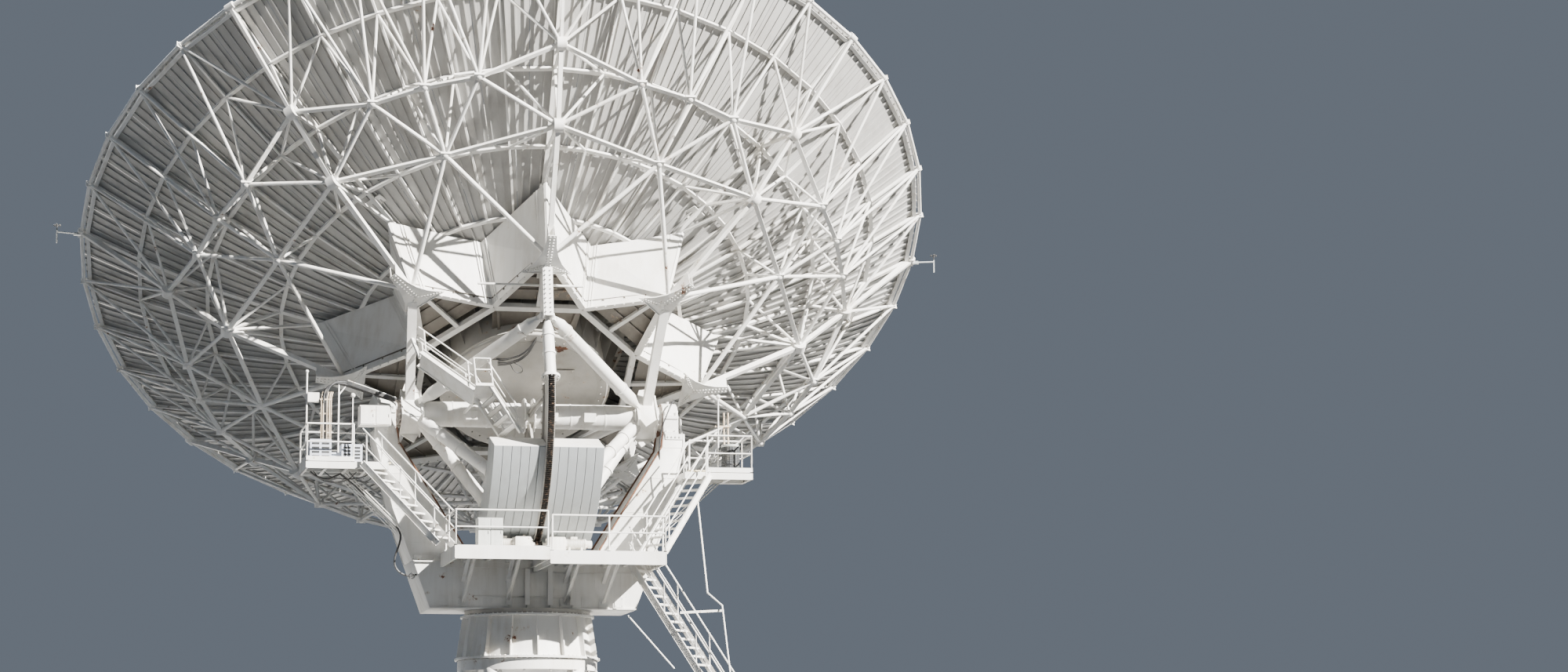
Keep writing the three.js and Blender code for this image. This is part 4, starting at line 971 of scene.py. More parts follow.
def make_bearing_cap(side, name):
    out = X * side
    at = lambda x, y, z: Vector((side * x, y, z))
    bm = bmesh.new()
    for x, way in ((3.87, -out), (4.29, out)):
        bolts(bm, ring_of(at(x, 0, AXIS_HEIGHT), out, 0.36, 12), way, 0.035)
    for y in (-0.46, 0.46):
        for x in (3.92, 4.24):
            tube(bm, at(x, y * 0.93, 13.7), at(x, y * 0.93, 14.09), 0.035)
            bolts(bm, [at(x, y * 0.93, 14.08)], UP, 0.06)
        block(bm, at(BEARING_X, y * 0.95, 13.995), (0.43, 0.16, 0.09))
    for y in (-0.52, 0.52):
        bolts(bm, [at(x, y, 13.56) for x in (3.95, 4.2)], UP, 0.05)
        block(bm, at(BEARING_X, y, 13.53), (0.4, 0.16, 0.06))
    tube(bm, at(BEARING_X, 0, AXIS_HEIGHT + 0.4), at(BEARING_X, 0, AXIS_HEIGHT + 0.5), 0.035)
    finish_piece(f"bearing_cap_{name}", bm, "white", YOKE)
    bm = bmesh.new()
    face = lambda y, z: at(3.846, y, z)
    arc = lambda r, t: face(-r * math.cos(math.radians(t)), AXIS_HEIGHT + r * math.sin(math.radians(t)))
    outline = [face(-0.02, 13.51), face(-0.475, 13.51), face(-0.44, 13.9)]
    outline += [arc(0.435, t) for t in range(0, 181, 12)]
    outline += [face(0.44, 13.9), face(0.475, 13.51), face(0.02, 13.51)]
    outline += [arc(0.365, t) for t in range(267, -88, -12)]
    plate(bm, outline, 0.006)
    finish_piece(f"bearing_face_{name}", bm, "rusty", YOKE)
    bm = bmesh.new()
    flange(bm, at(4.3, 0, AXIS_HEIGHT), out, 0.2, 0.03, 0, 24)
    bolts(bm, ring_of(at(4.315, 0, AXIS_HEIGHT), out, 0.13, 6), out, 0.03)
    finish_piece(f"pin_end_{name}", bm, "aged_and_shaded", PIN)


# Floors, rails and stairs
RAIL_TOP = 0.97
SIDE_RAIL = 1.05
HAND_RAIL = 0.02
KNEE_RAIL = 0.55
RISE = 0.24
FLOOR_LEFT = -2.65
FLOOR_MIDDLE = -0.02
FLOOR_RIGHT = 3.23
FLOOR_REAR = -4.1
FLOOR_FRONT = -1.12
FLOOR_Z = {"left": 9.9, "right": 9.79}
RAIL_FRONT = -2.06
LEFT_Z = 12.39
RIGHT_Z = 12.27


# Round rails with a middle rail and posts along a line of corners
def rails(bm, corners, z, spacing=1.7, height=RAIL_TOP):
    line = [Vector((x, y, z)) for x, y in corners]
    radius = 0.024
    for a, b in zip(line, line[1:]):
        top, middle = UP * height, UP * (height * 0.52)
        tube(bm, a + top, b + top, radius, 10, 0.01)
        tube(bm, a + middle, b + middle, radius * 0.85)
        count = max(1, round((b - a).length / spacing))
        for i in range(count + 1):
            foot = a.lerp(b, i / count)
            tube(bm, foot - UP * 0.06, foot + top, radius)
            block(bm, foot + UP * 0.01, (0.09, 0.09, 0.016))


# A deck: plate, deep edge channel and joists
def deck(bm, x0, x1, y0, y1, z, depth):
    box(bm, (x0 + 0.01, y0 + 0.01, z - 0.05), (x1 - 0.01, y1 - 0.01, z - 0.01))
    corners = [Vector((x, y, z)) for x, y in ((x0, y0), (x1, y0), (x1, y1), (x0, y1))]
    for a, b, inward in zip(corners, corners[1:] + corners[:1], (Y, -X, -Y, X)):
        web = inward * 0.012 - UP * depth / 2
        bar(bm, a + web, b + web, (0.016, depth), inward)
        for drop in (0.008, depth - 0.008):
            lift = inward * 0.042 - UP * drop
            bar(bm, a + lift, b + lift, (0.075, 0.016), inward)
    count = max(2, round((x1 - x0) / 0.6))
    for i in range(1, count):
        x = x0 + (x1 - x0) * i / count
        for level, size in ((z - 0.12, (0.012, 0.14)), (z - 0.19, (0.08, 0.012))):
            bar(bm, (x, y0 + 0.03, level), (x, y1 - 0.03, level), size, X)


def make_rear_platform():
    bm = bmesh.new()
    deck(bm, FLOOR_LEFT, FLOOR_MIDDLE, FLOOR_REAR, FLOOR_FRONT, FLOOR_Z["left"], 0.37)
    deck(bm, FLOOR_MIDDLE, FLOOR_RIGHT, FLOOR_REAR, FLOOR_FRONT, FLOOR_Z["right"], 0.37)
    foot = YOKE_BOTTOM + 0.2
    for x, name in ((-2.0, "left"), (-0.75, "left"), (0.9, "right"), (2.0, "right")):
        z = FLOOR_Z[name]
        low, far = Vector((x, YOKE_REAR, foot)), Vector((x, -3.5, z - 0.2))
        for shift in (-0.035, 0.035):
            bar(bm, low + X * shift, far + X * shift, (0.012, 0.11), X)
        bar(bm, low, far, (0.08, 0.012), X)
        bar(bm, (x, YOKE_REAR, 9.16), (x, RAIL_FRONT + 0.02, z - 0.2), (0.1, 0.1), X)
        bar(bm, (x, FLOOR_REAR + 0.02, z - 0.15), (x, YOKE_REAR, z - 0.17), (0.1, 0.14), X)
        block(bm, (x, YOKE_REAR - 0.015, foot), (0.3, 0.03, 0.24))
        corner_bolts(bm, (x, YOKE_REAR - 0.03, foot), X * 0.11, UP * 0.08, -Y, 0.025)
    finish_piece("rear_deck", bm, "white", YOKE, "rear_platform")
    bm = bmesh.new()
    left, right, rear = FLOOR_LEFT + 0.03, FLOOR_RIGHT - 0.03, FLOOR_REAR + 0.03
    rails(bm, [(left, RAIL_FRONT), (left, rear), (FLOOR_MIDDLE - 0.06, rear)], FLOOR_Z["left"])
    rails(bm, [(FLOOR_MIDDLE + 0.06, rear), (right, rear), (right, rear + 0.35)], FLOOR_Z["right"])
    finish_piece("rear_rails", bm, "rail", YOKE)


# For each side: its sign, its outer, rear and front edges, its height and the rows of its brackets
SIDES = {
    "left": (-1, -6.5, -1.75, 0.35, LEFT_Z, (-0.7, 0.15)),
    "right": (1, 6.18, -1.9, -0.56, RIGHT_Z, (-0.8, -0.64)),
}


def make_side_platforms():
    for name, (side, outer, rear, front, z, rows) in SIDES.items():
        bm = bmesh.new()
        x0, x1 = sorted((outer, side * 4.2))
        deck(bm, x0, x1, rear, front, z, 0.2)
        gate, post = outer - side * 1.32, side * 4.6
        outline = lambda inset: [(gate, rear + inset), (outer - side * inset, rear + inset),
                                 (outer - side * inset, front - inset), (post, front - inset)]
        toe = outline(0.01)
        for (xa, ya), (xb, yb) in zip(toe, toe[1:]):
            bar(bm, (xa, ya, z + 0.06), (xb, yb, z + 0.06), (0.012, 0.15), Y if ya == yb else X)
        for y in rows:
            low, high = Vector((side * 3.72, y, 10.62)), Vector((side * 5.45, y, z - 0.1))
            bar(bm, low, high, (0.14, 0.012), Y)
            rise = (high - low).cross(Y).normalized() * 0.07
            for lift in (-rise, rise):
                bar(bm, low + lift, high + lift, (0.12, 0.014), Y)
            bar(bm, (side * 4.2, y, z - 0.12), (outer - side * 0.05, y, z - 0.12), (0.1, 0.15), Y)
        finish_piece(f"{name}_deck", bm, "white", YOKE, f"{name}_platform")
        bm = bmesh.new()
        rails(bm, outline(0.03), z, 1.4, SIDE_RAIL)
        finish_piece(f"{name}_rails", bm, "rail", YOKE)


# A straight flight: channels at its sides, folded treads and round hand rails
def flight(bm, top, bottom, width=0.76):
    top, bottom = Vector(top), Vector(bottom)
    run = Vector((bottom.x - top.x, bottom.y - top.y, 0)).normalized()
    across = UP.cross(run)
    slope = (bottom - top).normalized()
    normal = slope.cross(across).normalized()
    normal = normal if normal.z > 0 else -normal
    for side in (-1, 1):
        a, b = top + across * side * width / 2, bottom + across * side * width / 2
        bar(bm, a, b, (0.19, 0.012), normal)
        for shift in (-0.089, 0.089):
            lift = normal * shift - across * side * -0.024
            bar(bm, a + lift, b + lift, (0.012, 0.055), normal)
        high = UP * RAIL_TOP
        count = max(2, round((b - a).length / 2.2) + 1)
        tube(bm, a + high, b + high, HAND_RAIL)
        tube(bm, a + high * KNEE_RAIL, b + high * KNEE_RAIL, 0.017)
        for i in range(count):
            foot = a.lerp(b, (i + 0.12) / (count - 0.76))
            tube(bm, foot, foot + high, HAND_RAIL)
    count = round((top.z - bottom.z) / RISE)
    reach = across * (width / 2 - 0.01)
    for i in range(1, count):
        middle = top.lerp(bottom, i / count)
        bar(bm, middle - reach, middle + reach, (0.012, 0.17))
        for shift in (-0.08, 0.08):
            lip = middle + run * shift - UP * 0.018
            bar(bm, lip - reach, lip + reach, (0.045, 0.008))


def make_stairs():
    for name, top, bottom in (("left", (-4.7, -1.6, LEFT_Z - 0.06), (-2.78, -3.22, 9.97)),
                              ("right", (4.66, -1.7, RIGHT_Z - 0.06), (3.02, -3.27, 9.84))):
        bm = bmesh.new()
        flight(bm, top, bottom)
        finish_piece(f"{name}_steps", bm, "rail", YOKE, f"{name}_stair")
    bm = bmesh.new()
    run = Vector((0.75, -0.66, 0))
    start = Vector((2.6, -2.15, 9.85))
    at = lambda distance, z: Vector((*(start + run * distance).xy, z))
    a, b = at(3.45, 5.0), at(4.35, 5.0)
    flight(bm, at(0.16, 9.65), a)
    flight(bm, b, at(7.9, 0.45))
    across, over = Vector((0.66, 0.75, 0)) * 0.41, run * 0.12
    plate(bm, [a - across - over, a + across - over, b + across + over, b - across + over], 0.03)
    for side in (-1, 1):
        p, q = a + across * side, b + across * side
        bar(bm, p, q, (0.16, 0.02), UP, 0.12)
        for level in (RAIL_TOP, RAIL_TOP * KNEE_RAIL):
            tube(bm, p + UP * level, q + UP * level, HAND_RAIL)
    finish_piece("access_steps", bm, "rail", YOKE, "access_stair")


# Drives, cabinets and coolers
def fins(bm, a, b, radius, count):
    for p in spaced(a, b, count):
        flange(bm, p, Vector(b) - Vector(a), radius, 0.012, 0, 20)


def make_drives():
    tilt = math.radians(PINION_ANGLE)
    reach = GEAR + PINION_RADIUS + 0.008
    pinion = Vector((0, -reach * math.cos(tilt), AXIS_HEIGHT - reach * math.sin(tilt)))
    for side, name, z in ((-1, "left", FLOOR_Z["left"]), (1, "right", FLOOR_Z["right"])):
        at = lambda x, y, height: Vector((side * x, pinion.y + y, height))
        bm = bmesh.new()
        axle = X * side
        x0, x1 = sorted((side * 0.26, side * 0.71))
        box(bm, (x0, pinion.y - 0.41, z + 0.01), (x1, pinion.y + 0.19, pinion.z + 0.22))
        soften(bm, 0.03, 2, 60)
        tube(bm, at(0.01, 0, pinion.z), at(0.42, 0, pinion.z), 0.09, 24)
        for shift in (0.24, 0.73):
            flange(bm, at(shift, -0.1, pinion.z + 0.03), axle, 0.19, 0.03, 10)
        y, height = -0.12, pinion.z + 0.04
        tube(bm, at(0.72, y, height), at(1.3, y, height), 0.13, 24)
        fins(bm, at(0.8, y, height), at(1.25, y, height), 0.148, 12)
        tube(bm, at(1.3, y, height), at(1.49, y, height), 0.105, 20)
        flange(bm, at(1.3, y, height), axle, 0.15, 0.03, 8, 24)
        block(bm, at(1.0, y + 0.05, height + 0.16), (0.18, 0.12, 0.1))
        for shift in (0.85, 1.2):
            block(bm, at(shift, y, (z + height) / 2), (0.06, 0.22, height - z - 0.02))
        block(bm, at(1.02, y, z + 0.02), (0.55, 0.34, 0.03))
        block(bm, at(0.48, -0.11, z + 0.015), (0.6, 0.74, 0.03))
        bolts(bm, [at(0.22 + 0.52 * i, -0.44 + 0.66 * j, z + 0.03) for i in (0, 1) for j in (0, 1)], UP, 0.03)
        tube(bm, at(0.4, 0.02, pinion.z + 0.2), at(0.4, 0.02, pinion.z + 0.3), 0.04, 12)
        finish_piece(f"tilt_drive_{name}", bm, "cream", YOKE, f"elevation_drive_{name}")
        bm = bmesh.new()
        tube(bm, at(0.008, 0, pinion.z), at(0.1, 0, pinion.z), 0.1, 24)
        for i in range(18):
            angle = 2 * math.pi * i / 18
            turn = Matrix.Rotation(angle, 4, "X")
            block(bm, at(0.054, 0, pinion.z) + turn.to_3x3() @ UP * 0.108, (0.09, 0.018, 0.03), turn)
        finish_piece(f"pinion_{name}", bm, "grease", YOKE)


# A cabinet with two doors in its rear side, each with a handle, and a lid
def cabinet(bm, low, high):
    low, high = Vector(low), Vector(high)
    box(bm, low, high)
    middle, size = (low + high) / 2, high - low
    width = size.x / 2
    for shift in (-width / 2, width / 2):
        door = Vector((middle.x + shift, low.y, middle.z))
        block(bm, door - Y * 0.008, (width - 0.03, 0.02, size.z - 0.05))
        block(bm, door + X * width * 0.36 - Y * 0.03, (0.02, 0.02, 0.09))
    block(bm, (middle.x, middle.y, high.z - 0.012), (size.x + 0.01, size.y + 0.01, 0.024))


def make_cabinets():
    bm = bmesh.new()
    z = FLOOR_Z["left"]
    cabinet(bm, (-1.94, -3.49, z + 0.01), (-1.24, -3.06, z + 0.81))
    soften(bm, 0.006)
    finish_piece("grey_cabinet", bm, "cabinet", YOKE, "control_cabinet")
    # The second mesh holds near-black blocks over each slot: painted shade inside the openings
    bm, slots = bmesh.new(), bmesh.new()
    for x0, x1, height in ((-6.37, -5.77, 0.64), (-5.49, -4.91, 0.51)):
        z0, z1 = LEFT_Z + 0.01, LEFT_Z + height
        box(bm, (x0, -1.49, z0), (x1, -0.91, z1))
        bar(bm, (x0 + 0.02, -1.5, z0 + 0.02), (x1 - 0.02, -1.5, z0 + 0.02), (0.02, 0.03))
        for i in range(4):
            level = z0 + (z1 - z0) * (0.24 + 0.19 * i)
            for share in (0.27, 0.73):
                block(slots, (x0 + (x1 - x0) * share, -1.494, level), ((x1 - x0) * 0.34, 0.014, 0.05))
    box(bm, (-5.78, -1.34, LEFT_Z + 0.01), (-5.47, -1.06, LEFT_Z + 0.29))
    for x, top in ((-6.07, 0.655), (-5.2, 0.53)):
        tube(bm, (x, -1.2, LEFT_Z + 0.45), (x, -1.2, LEFT_Z + top), 0.17, 24)
    soften(bm, 0.005)
    finish_piece("slotted_units", bm, "unit", YOKE, "cooling_units")
    finish_piece("unit_slot_shade", slots, "rubber", YOKE)
    bm = bmesh.new()
    cabinet(bm, (-4.94, -1.04, 13.51), (-4.06, -0.49, 14.07))
    soften(bm, 0.006)
    finish_piece("white_cabinet", bm, "white", YOKE, "junction_cabinet")
    bm = bmesh.new()
    cooler = lambda height: Vector((5.69, -1.18, RIGHT_Z + height))
    tube(bm, cooler(0.01), cooler(0.8), 0.255, 40)
    finish_piece("round_grille", bm, "grille", YOKE, "round_cooler")
    bm = bmesh.new()
    for height in (0.29, 0.63):
        flange(bm, cooler(height), UP, 0.268, 0.035, 0, 40)
    for i in range(20):
        shift = heading(18 * i) * 0.258
        bar(bm, cooler(0.02) + shift, cooler(0.79) + shift, (0.01, 0.01))
    finish_piece("grille_bands", bm, "rubber", YOKE)
    bm = bmesh.new()
    tube(bm, cooler(0.8), cooler(0.87), 0.27, 40)
    tube(bm, cooler(0.0), cooler(0.03), 0.27, 40)
    soften(bm, 0.02, 2, 60)
    finish_piece("cooler_lid", bm, "cabinet", YOKE)


# A lamp or marker on a pole
def lamp_pole(bm, foot, top, radius=0.022, globe=0.09):
    tube(bm, foot, top, radius, 12)
    flange(bm, Vector(foot) + UP * 0.01, UP, radius * 3, 0.02, 0, 16)
    ball(bm, Vector(top) + UP * globe * 0.8, globe, 2)


# Cable routes on the left platform, from the cooling units over to the bearing and down to the yoke
TRAY = (Vector((-5.25, -0.6, 14.74)), Vector((-3.9, -0.6, 14.29)))
ARCH = [(-5.95, -1.05, 13.05), (-5.95, -1.05, 13.7), (-5.95, -1.05, 14.25), (-5.89, -0.94, 14.48),
        (-5.74, -0.78, 14.66), (-5.52, -0.65, 14.74), (-5.28, -0.61, 14.72), (-4.7, -0.6, 14.54),
        (-3.92, -0.6, 14.3)]
HOSE = [(-6.29, -0.85, 12.18), (-6.15, -0.85, 12.06), (-5.85, -0.85, 11.95), (-5.6, -0.82, 12.06),
        (-5.4, -0.79, 12.16), (-3.9, -0.79, 10.72), (-3.78, -0.88, 10.56), (-3.74, -0.96, 10.38),
        (-3.8, -0.98, 10.13), (-3.9, -0.99, 9.85), (-3.93, -0.99, 9.63), (-3.85, -0.985, 9.44),
        (-3.68, -0.98, 9.32), (-3.5, -0.97, 9.28), (-3.3, -0.96, 9.32)]
COIL = [(-3.52, -0.98, 9.28), (-3.42, -1.0, 9.2), (-3.34, -1.0, 9.27), (-3.4, -1.0, 9.37), (-3.5, -1.0, 9.33),
        (-3.48, -1.0, 9.22)]


def make_left_services():
    start, end = TRAY
    bm = bmesh.new()
    lamp_pole(bm, (-6.42, -0.87, LEFT_Z - 0.05), (-6.42, -0.87, 14.97), 0.025, 0.05)
    tube(bm, (-5.5, -0.64, LEFT_Z - 0.05), (-5.5, -0.64, 14.72), 0.025, 12)
    lamp_pole(bm, (-5.13, -0.9, LEFT_Z), (-5.13, -0.9, 14.3), 0.018, 0.07)
    box(bm, (-6.4, -0.99, 14.14), (-6.08, -0.81, 14.4))
    lift = Vector((0, -0.08, 0.07))
    tube(bm, start + lift, end + lift, 0.012, 8)
    for share in (0.0, 0.5):
        p = start.lerp(end, share)
        tube(bm, p - UP * 0.02, (p.x - 0.25 + share, -0.64, p.z - 0.35), 0.018, 8)
    finish_piece("service_posts", bm, "rail", YOKE)
    bm = bmesh.new()
    half = Y * 0.075
    for shift in (-half, half):
        bar(bm, start + shift, end + shift, (0.09, 0.012))
    for p in spaced(start, end, 14):
        bar(bm, p - half - UP * 0.02, p + half - UP * 0.02, (0.03, 0.012))
    # Six cables side by side, a little closer together once they have turned over
    for x, y in ((0, 0), (-0.055, 0.02), (0.05, -0.02), (0.0, 0.055), (0.045, 0.045), (-0.02, -0.055)):
        rising, turning, over = Vector((x, y, 0)), Vector((x, y, x * 0.6)), Vector((x, y * 0.6, x * 0.6))
        shifts = [rising] * 3 + [turning] + [over] * 5
        cable(bm, [Vector(p) + shift for p, shift in zip(ARCH, shifts)], 0.03)
    cable(bm, HOSE, 0.028)
    cable(bm, COIL, 0.018)
    for x0, x1, sag in ((-6.2, -5.0, 0.32), (-5.9, -4.6, 0.22), (-5.2, -4.4, 0.3)):
        middle = (x0 + x1) / 2
        cable(bm, [(x0, -0.8, 12.2), (x0 + 0.2, -0.82, 12.2 - sag * 0.8), (middle, -0.83, 12.2 - sag),
                   (x1 - 0.2, -0.82, 12.2 - sag * 0.7), (x1, -0.8, 12.2)], 0.014)
    finish_piece("black_cables", bm, "rubber", YOKE)
    bm = bmesh.new()
    for i, x in enumerate((-6.03, -5.98, -5.87, -5.81, -5.76)):
        y = -1.1 - 0.03 * (i % 2)
        cable(bm, [(x, y, 13.0), (x, y, 13.6), (x, y + 0.01, 14.1), (x + 0.02, y + 0.06, 14.3),
                   (x + 0.06, y + 0.16, 14.42)], 0.019)
    for z in (13.3, 13.8, 14.2):
        block(bm, (-5.9, -1.08, z), (0.34, 0.03, 0.04))
    finish_piece("beige_conduits", bm, "conduit", YOKE)
    bm = bmesh.new()
    box(bm, (-4.79, -1.72, LEFT_Z - 0.035), (-4.13, -1.5, LEFT_Z - 0.005))
    box(bm, (4.35, -1.72, RIGHT_Z + 0.04), (4.92, -1.5, RIGHT_Z + 0.07))
    finish_piece("landing_plates", bm, "yellow", YOKE)


def make_right_services():
    bm = bmesh.new()
    lamp_pole(bm, (5.37, -1.0, RIGHT_Z), (5.37, -1.0, 14.5), 0.02, 0.07)
    path = [(4.7, -1.3, 11.47), (4.4, -4.0, 8.67), (4.75, -4.3, 8.3), (4.81, -5.0, 6.44), (4.81, -5.0, 0.5)]
    for a, b in zip(path, path[1:]):
        tube(bm, a, b, 0.022, 10, 0.008)
    bar(bm, (3.58, -4.2, 8.1), (4.77, -4.2, 8.17), (0.06, 0.05))
    tube(bm, (2.73, -1.0, 8.23), (4.07, -1.0, 6.74), 0.02)
    finish_piece("side_pole", bm, "rail", YOKE)
    bm = bmesh.new()
    for x in (5.56, 5.68):
        cable(bm, [(x, -0.98, RIGHT_Z + 0.82), (x, -0.92, 13.3), (x, -0.9, 13.6), (x, -0.9, 14.1)], 0.024)
    block(bm, (5.5, -0.95, 13.7), (0.42, 0.04, 0.04))
    finish_piece("right_conduits", bm, "conduit", YOKE)
    bm = bmesh.new()
    cable(bm, [(3.72, -0.62, 12.6), (3.7, -0.7, 13.2), (3.78, -0.72, 13.7), (3.95, -0.66, 14.1),
               (4.1, -0.56, 14.42), (4.2, -0.4, 14.5)], 0.022)
    finish_piece("bearing_hose", bm, "rubber", YOKE)


# The pedestal
def make_pedestal():
    bm = bmesh.new()
    tube(bm, (0, 0, 8.24), (0, 0, YOKE_BOTTOM - 0.001), 1.78, 96)
    soften(bm, 0.01)
    bolts(bm, ring_of(UP * 8.3, UP, 1.66, 60), UP, 0.03)
    flange(bm, UP * 8.285, UP, 1.79, 0.02, 0, 96)
    finish_piece("turning_ring", bm, "aged_and_shaded", PEDESTAL, "azimuth_bearing")
    bm = bmesh.new()
    cone(bm, UP * 7.0, UP * 8.2, 1.89, 1.69, 96)
    flange(bm, UP * 8.205, UP, 1.9, 0.05, 0, 96)
    flange(bm, UP * 7.01, UP, 2.06, 0.06, 0, 96)
    for i in range(16):
        outline = ((1.6, 7.03), (2.03, 7.03), (1.86, 8.19), (1.6, 8.19))
        plate(bm, [heading(22.5 * i) * r + UP * z for r, z in outline], 0.03)
        for turn in (4.5, 9.0, 13.5, 18.0):
            for radius, z, way in ((1.98, 7.04, UP), (1.83, 8.23, UP), (1.98, 6.98, REAR)):
                bolts(bm, [heading(22.5 * i + turn) * radius + UP * z], way, 0.03)
    finish_piece("ribbed_drum", bm, "white", PEDESTAL, "pedestal_drum")
    make_legs()


def make_legs():
    bm = bmesh.new()
    circle = lambda r, angle, z: heading(angle) * r + UP * z
    for angle in (270, 30, 150):
        foot = circle(4.9, angle, 0.56)
        for turn in (-49, 49):
            head = circle(1.65, angle + turn, 6.98)
            line = (head - foot).normalized()
            tube(bm, foot, head - line * 0.45, 0.25, 28)
            ball(bm, head - line * 0.42, 0.25, 3)
            bar(bm, head - line * 0.6, head - line * 0.1, (0.3, 0.06), circle(1, angle + turn, 0))
            flange(bm, foot.lerp(head, 0.14), line, 0.3, 0.05, 12, 28)
            flange(bm, foot.lerp(head, 0.86), line, 0.29, 0.05, 12, 28)
        middle = circle(4.9, angle, 0)
        place = Matrix.Translation(middle + UP * 0.43) @ Matrix.Rotation(math.pi / 8, 4, "Z")
        bmesh.ops.create_cone(bm, cap_ends=True, segments=8, radius1=0.77, radius2=0.6, depth=0.7,
                              matrix=place)
        tube(bm, middle, middle + UP * 0.08, 0.78, 32)
        bolts(bm, ring_of(middle + UP * 0.08, UP, 0.7, 12), UP, 0.06)
        across = circle(4.9, angle + 120, 0.56)
        for lift in (0.15, -0.15):
            bar(bm, foot + UP * lift, across + UP * lift, (0.02, 0.3))
        bar(bm, foot, across, (0.3, 0.02))
    flange(bm, UP * 6.81, UP, 1.98, 0.3, 0, 64)
    for i in range(16):
        bolts(bm, [circle(1.9, 22.5 * i + 11, 6.66)], REAR, 0.05)
    finish_piece("leg_tubes", bm, "white", PEDESTAL, "leg_frame")


# The front of the dish: feed, quadrupod and the small mirror
def make_front():
    bm = bmesh.new()
    base, top = 2.74, 5.58
    cone(bm, (0, 0, base), (0, 0, top - 0.25), 0.99, 0.86, 64)
    for z, radius in ((base + 0.06, 1.0), (3.7, 0.96), (4.6, 0.91), (top - 0.27, 0.87)):
        flange(bm, UP * z, UP, radius, 0.05, 24, 64)
    for i in range(12):
        angle = 30 * i + 15
        plate(bm, [dish(0.95, angle, base + 0.05), dish(1.0, angle, base + 0.05), dish(0.9, angle, top - 0.3),
                   dish(0.84, angle, top - 0.3)], 0.02)
    block(bm, (0, 0.93, 3.4), (0.5, 0.1, 0.9))
    finish_piece("feed_cone", bm, "white", REFLECTOR, "feed_tower")
    bm = bmesh.new()
    horns = ((0, 0, 0.26), (0.45, 0.2, 0.16), (-0.4, 0.3, 0.14), (-0.1, -0.5, 0.18), (0.42, -0.4, 0.11))
    for x, y, r in horns:
        cone(bm, (x, y, top - 0.24), (x, y, top - 0.02), r * 0.7, r, 32)
        flange(bm, Vector((x, y, top - 0.24)), UP, r * 0.9, 0.03, 0, 32)
        tube(bm, (x, y, top - 0.02), (x, y, top - 0.005), r * 0.82, 32)
    finish_piece("feed_horns", bm, "cabinet", REFLECTOR)
    make_quadrupod()


def make_quadrupod():
    bm = bmesh.new()
    head = 11.7
    for angle in (45, 135, 225, 315):
        foot, tip = dish(6.42, angle, 3.88), dish(0.62, angle, head + 0.2)
        side = dish(1, angle + 90, 0)
        out = (tip - foot).normalized().cross(side)
        for chord in (out * -0.13, out * 0.13):
            for shift in (chord + side * -0.045, chord + side * 0.045):
                tube(bm, foot + shift, tip + shift, 0.022, 8)
            bar(bm, foot + chord, tip + chord, (0.09, 0.012), side)
        nodes = 22
        for i in range(nodes):
            a, b = foot.lerp(tip, i / nodes), foot.lerp(tip, (i + 1) / nodes)
            s = 0.12 if i % 2 else -0.12
            tube(bm, a + out * s, b - out * s, 0.016, 6)
        block(bm, dish(6.42, angle, 3.86), (0.5, 0.5, 0.03), Matrix.Rotation(-math.radians(angle), 4, "Z"))
        bar(bm, foot, foot.lerp(tip, 0.03), (0.34, 0.16), out)
    tube(bm, (0, 0, head + 0.03), (0, 0, head + 0.86), 0.72, 40)
    cone(bm, (0, 0, head + 0.86), (0, 0, head + 1.26), 0.72, 0.46, 40)
    for z in (head + 0.03, head + 0.45, head + 0.86):
        flange(bm, UP * z, UP, 0.758, 0.04, 24, 40)
    flange(bm, UP * (head + 1.27), UP, 0.4, 0.03, 8, 24)
    for angle in (45, 135, 225, 315):
        foot = dish(0.72, angle, head)
        bar(bm, foot + UP * 0.05, foot + UP * 0.8, (0.12, 0.05), dish(1, angle, 0))
    finish_piece("quadrupod_legs", bm, "white", REFLECTOR, "quadrupod")
    bm = bmesh.new()
    low = 10.1
    outline = ((0.0, 0.005), (0.35, 0.04), (0.7, 0.115), (0.95, 0.2), (1.14, 0.295), (1.14, 0.34),
               (0.9, 0.37), (0.32, 0.44))
    chain = [bm.verts.new((r, 0, low + z)) for r, z in outline]
    edges = [bm.edges.new(pair) for pair in zip(chain, chain[1:])]
    bmesh.ops.spin(bm, geom=chain + edges, cent=(0, 0, 0), axis=UP, angle=2 * math.pi, steps=64,
                   use_merge=True)
    bmesh.ops.remove_doubles(bm, verts=bm.verts, dist=0.0005)
    tube(bm, (0, 0, low + 0.4), (0, 0, head - 0.01), 0.29, 32)
    for i in range(12):
        angle = 30 * i
        fin = [dish(r, angle, low + z) for r, z in ((0.3, 0.42), (1.0, 0.35), (0.3, 0.62))]
        plate(bm, fin, 0.016)
    for z in (low + 0.95, head - 0.05):
        flange(bm, UP * z, UP, 0.36, 0.04, 12, 32)
    for angle in (0, 60, 120, 180, 240, 300):
        tube(bm, dish(0.26, angle, low + 1.0), dish(0.26, angle + 35, head - 0.06), 0.03)
    finish_piece("small_mirror", bm, "front", REFLECTOR, "subreflector")


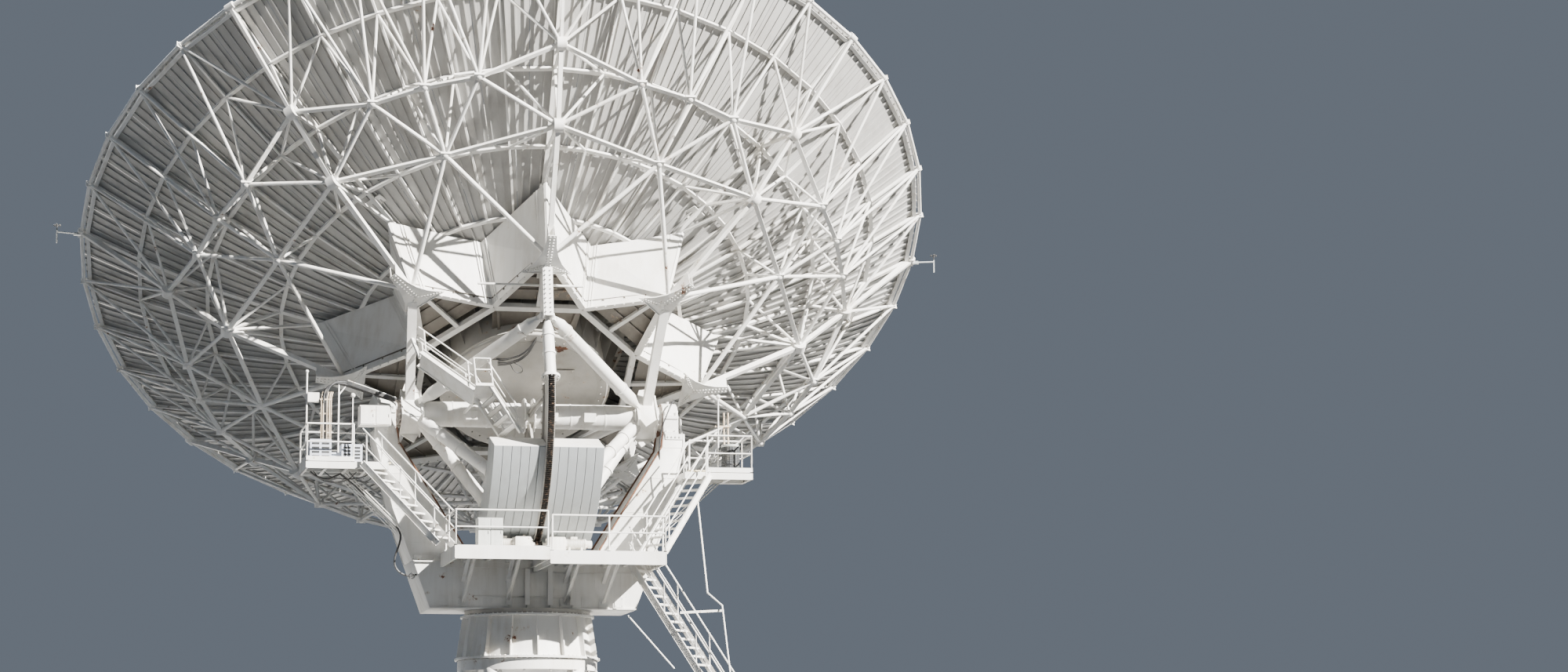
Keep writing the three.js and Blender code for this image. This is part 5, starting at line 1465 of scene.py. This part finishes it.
def make_anemometers():
    for side, name in BOTH_SIDES:
        bm = bmesh.new()
        z = RIM_NODE[1] - 0.058
        foot, tip = Vector((side * 12.62, 0, z)), Vector((side * 13.3, -0.06, z))
        up = Vector((0, -0.584, 0.811))
        mast = tip + up * 0.14
        tube(bm, foot, tip, 0.022, 12)
        tube(bm, tip - up * 0.33, tip + up * 0.05, 0.022, 12)
        bar(bm, foot, foot + X * side * 0.2, (0.1, 0.05))
        finish_piece(f"wind_gauge_{name}", bm, "steel", REFLECTOR, f"anemometer_{name}")
        bm = bmesh.new()
        tube(bm, tip + up * 0.05, mast, 0.014, 12)
        tube(bm, mast, mast + up * 0.07, 0.03, 12)
        for i in range(3):
            arm = Matrix.Rotation(2 * math.pi * i / 3 + 0.4, 3, up) @ X
            end = mast + up * 0.06 + arm * 0.085
            tube(bm, mast + up * 0.05, end, 0.008, 8)
            ball(bm, end, 0.034, 2)
        finish_piece(f"wind_cups_{name}", bm, "rubber", REFLECTOR)


def stage_and_light():
    bm = bmesh.new()
    bmesh.ops.create_grid(bm, x_segments=1, y_segments=1, size=300)
    mesh = bpy.data.meshes.new("floor")
    bm.to_mesh(mesh)
    bm.free()
    floor = Finish("pale_floor", Roughness=0.9)
    shade = floor.mix(floor.noise(0.2).soften(0.3, 0.7), (0.62, 0.6, 0.56), (0.66, 0.64, 0.6))
    mesh.materials.append(floor.drive(Base_Color=shade))
    ground = bpy.data.objects.new("floor", mesh)
    bpy.context.collection.objects.link(ground)
    ground.visible_diffuse = False
    world = bpy.data.worlds.new("studio")
    bpy.context.scene.world = world
    world.use_nodes = True
    sky = world.node_tree.nodes["Background"]
    sky.inputs["Color"].default_value = (0.47, 0.55, 0.67, 1)
    sky.inputs["Strength"].default_value = 0.29
    # The sun of the photograph, and a weak fill for the side that looks away from it
    for name, energy, spread, warmth, direction in (
            ("key", 27.0, 0.6, (1.0, 0.97, 0.92), (0.578, -0.62, 0.53)),
            ("fill", 3.5, 25.0, (0.92, 0.96, 1.0), (-0.35, 0.75, 0.56))):
        data = bpy.data.lights.new(name, "SUN")
        data.energy = energy
        data.angle = math.radians(spread)
        data.color = warmth
        light = bpy.data.objects.new(name, data)
        light.matrix_world = Vector(direction).to_track_quat("Z", "Y").to_matrix().to_4x4()
        bpy.context.collection.objects.link(light)


make_camera()
stage_and_light()
PAINTS = make_paints()
make_panels()
make_lattice()
make_hub()
make_trunnions()
make_apex()
make_gear()
make_hub_stair()
make_counterweights()
make_yoke()
make_rear_platform()
make_side_platforms()
make_stairs()
make_drives()
make_cabinets()
make_left_services()
make_right_services()
make_pedestal()
make_front()
make_anemometers()
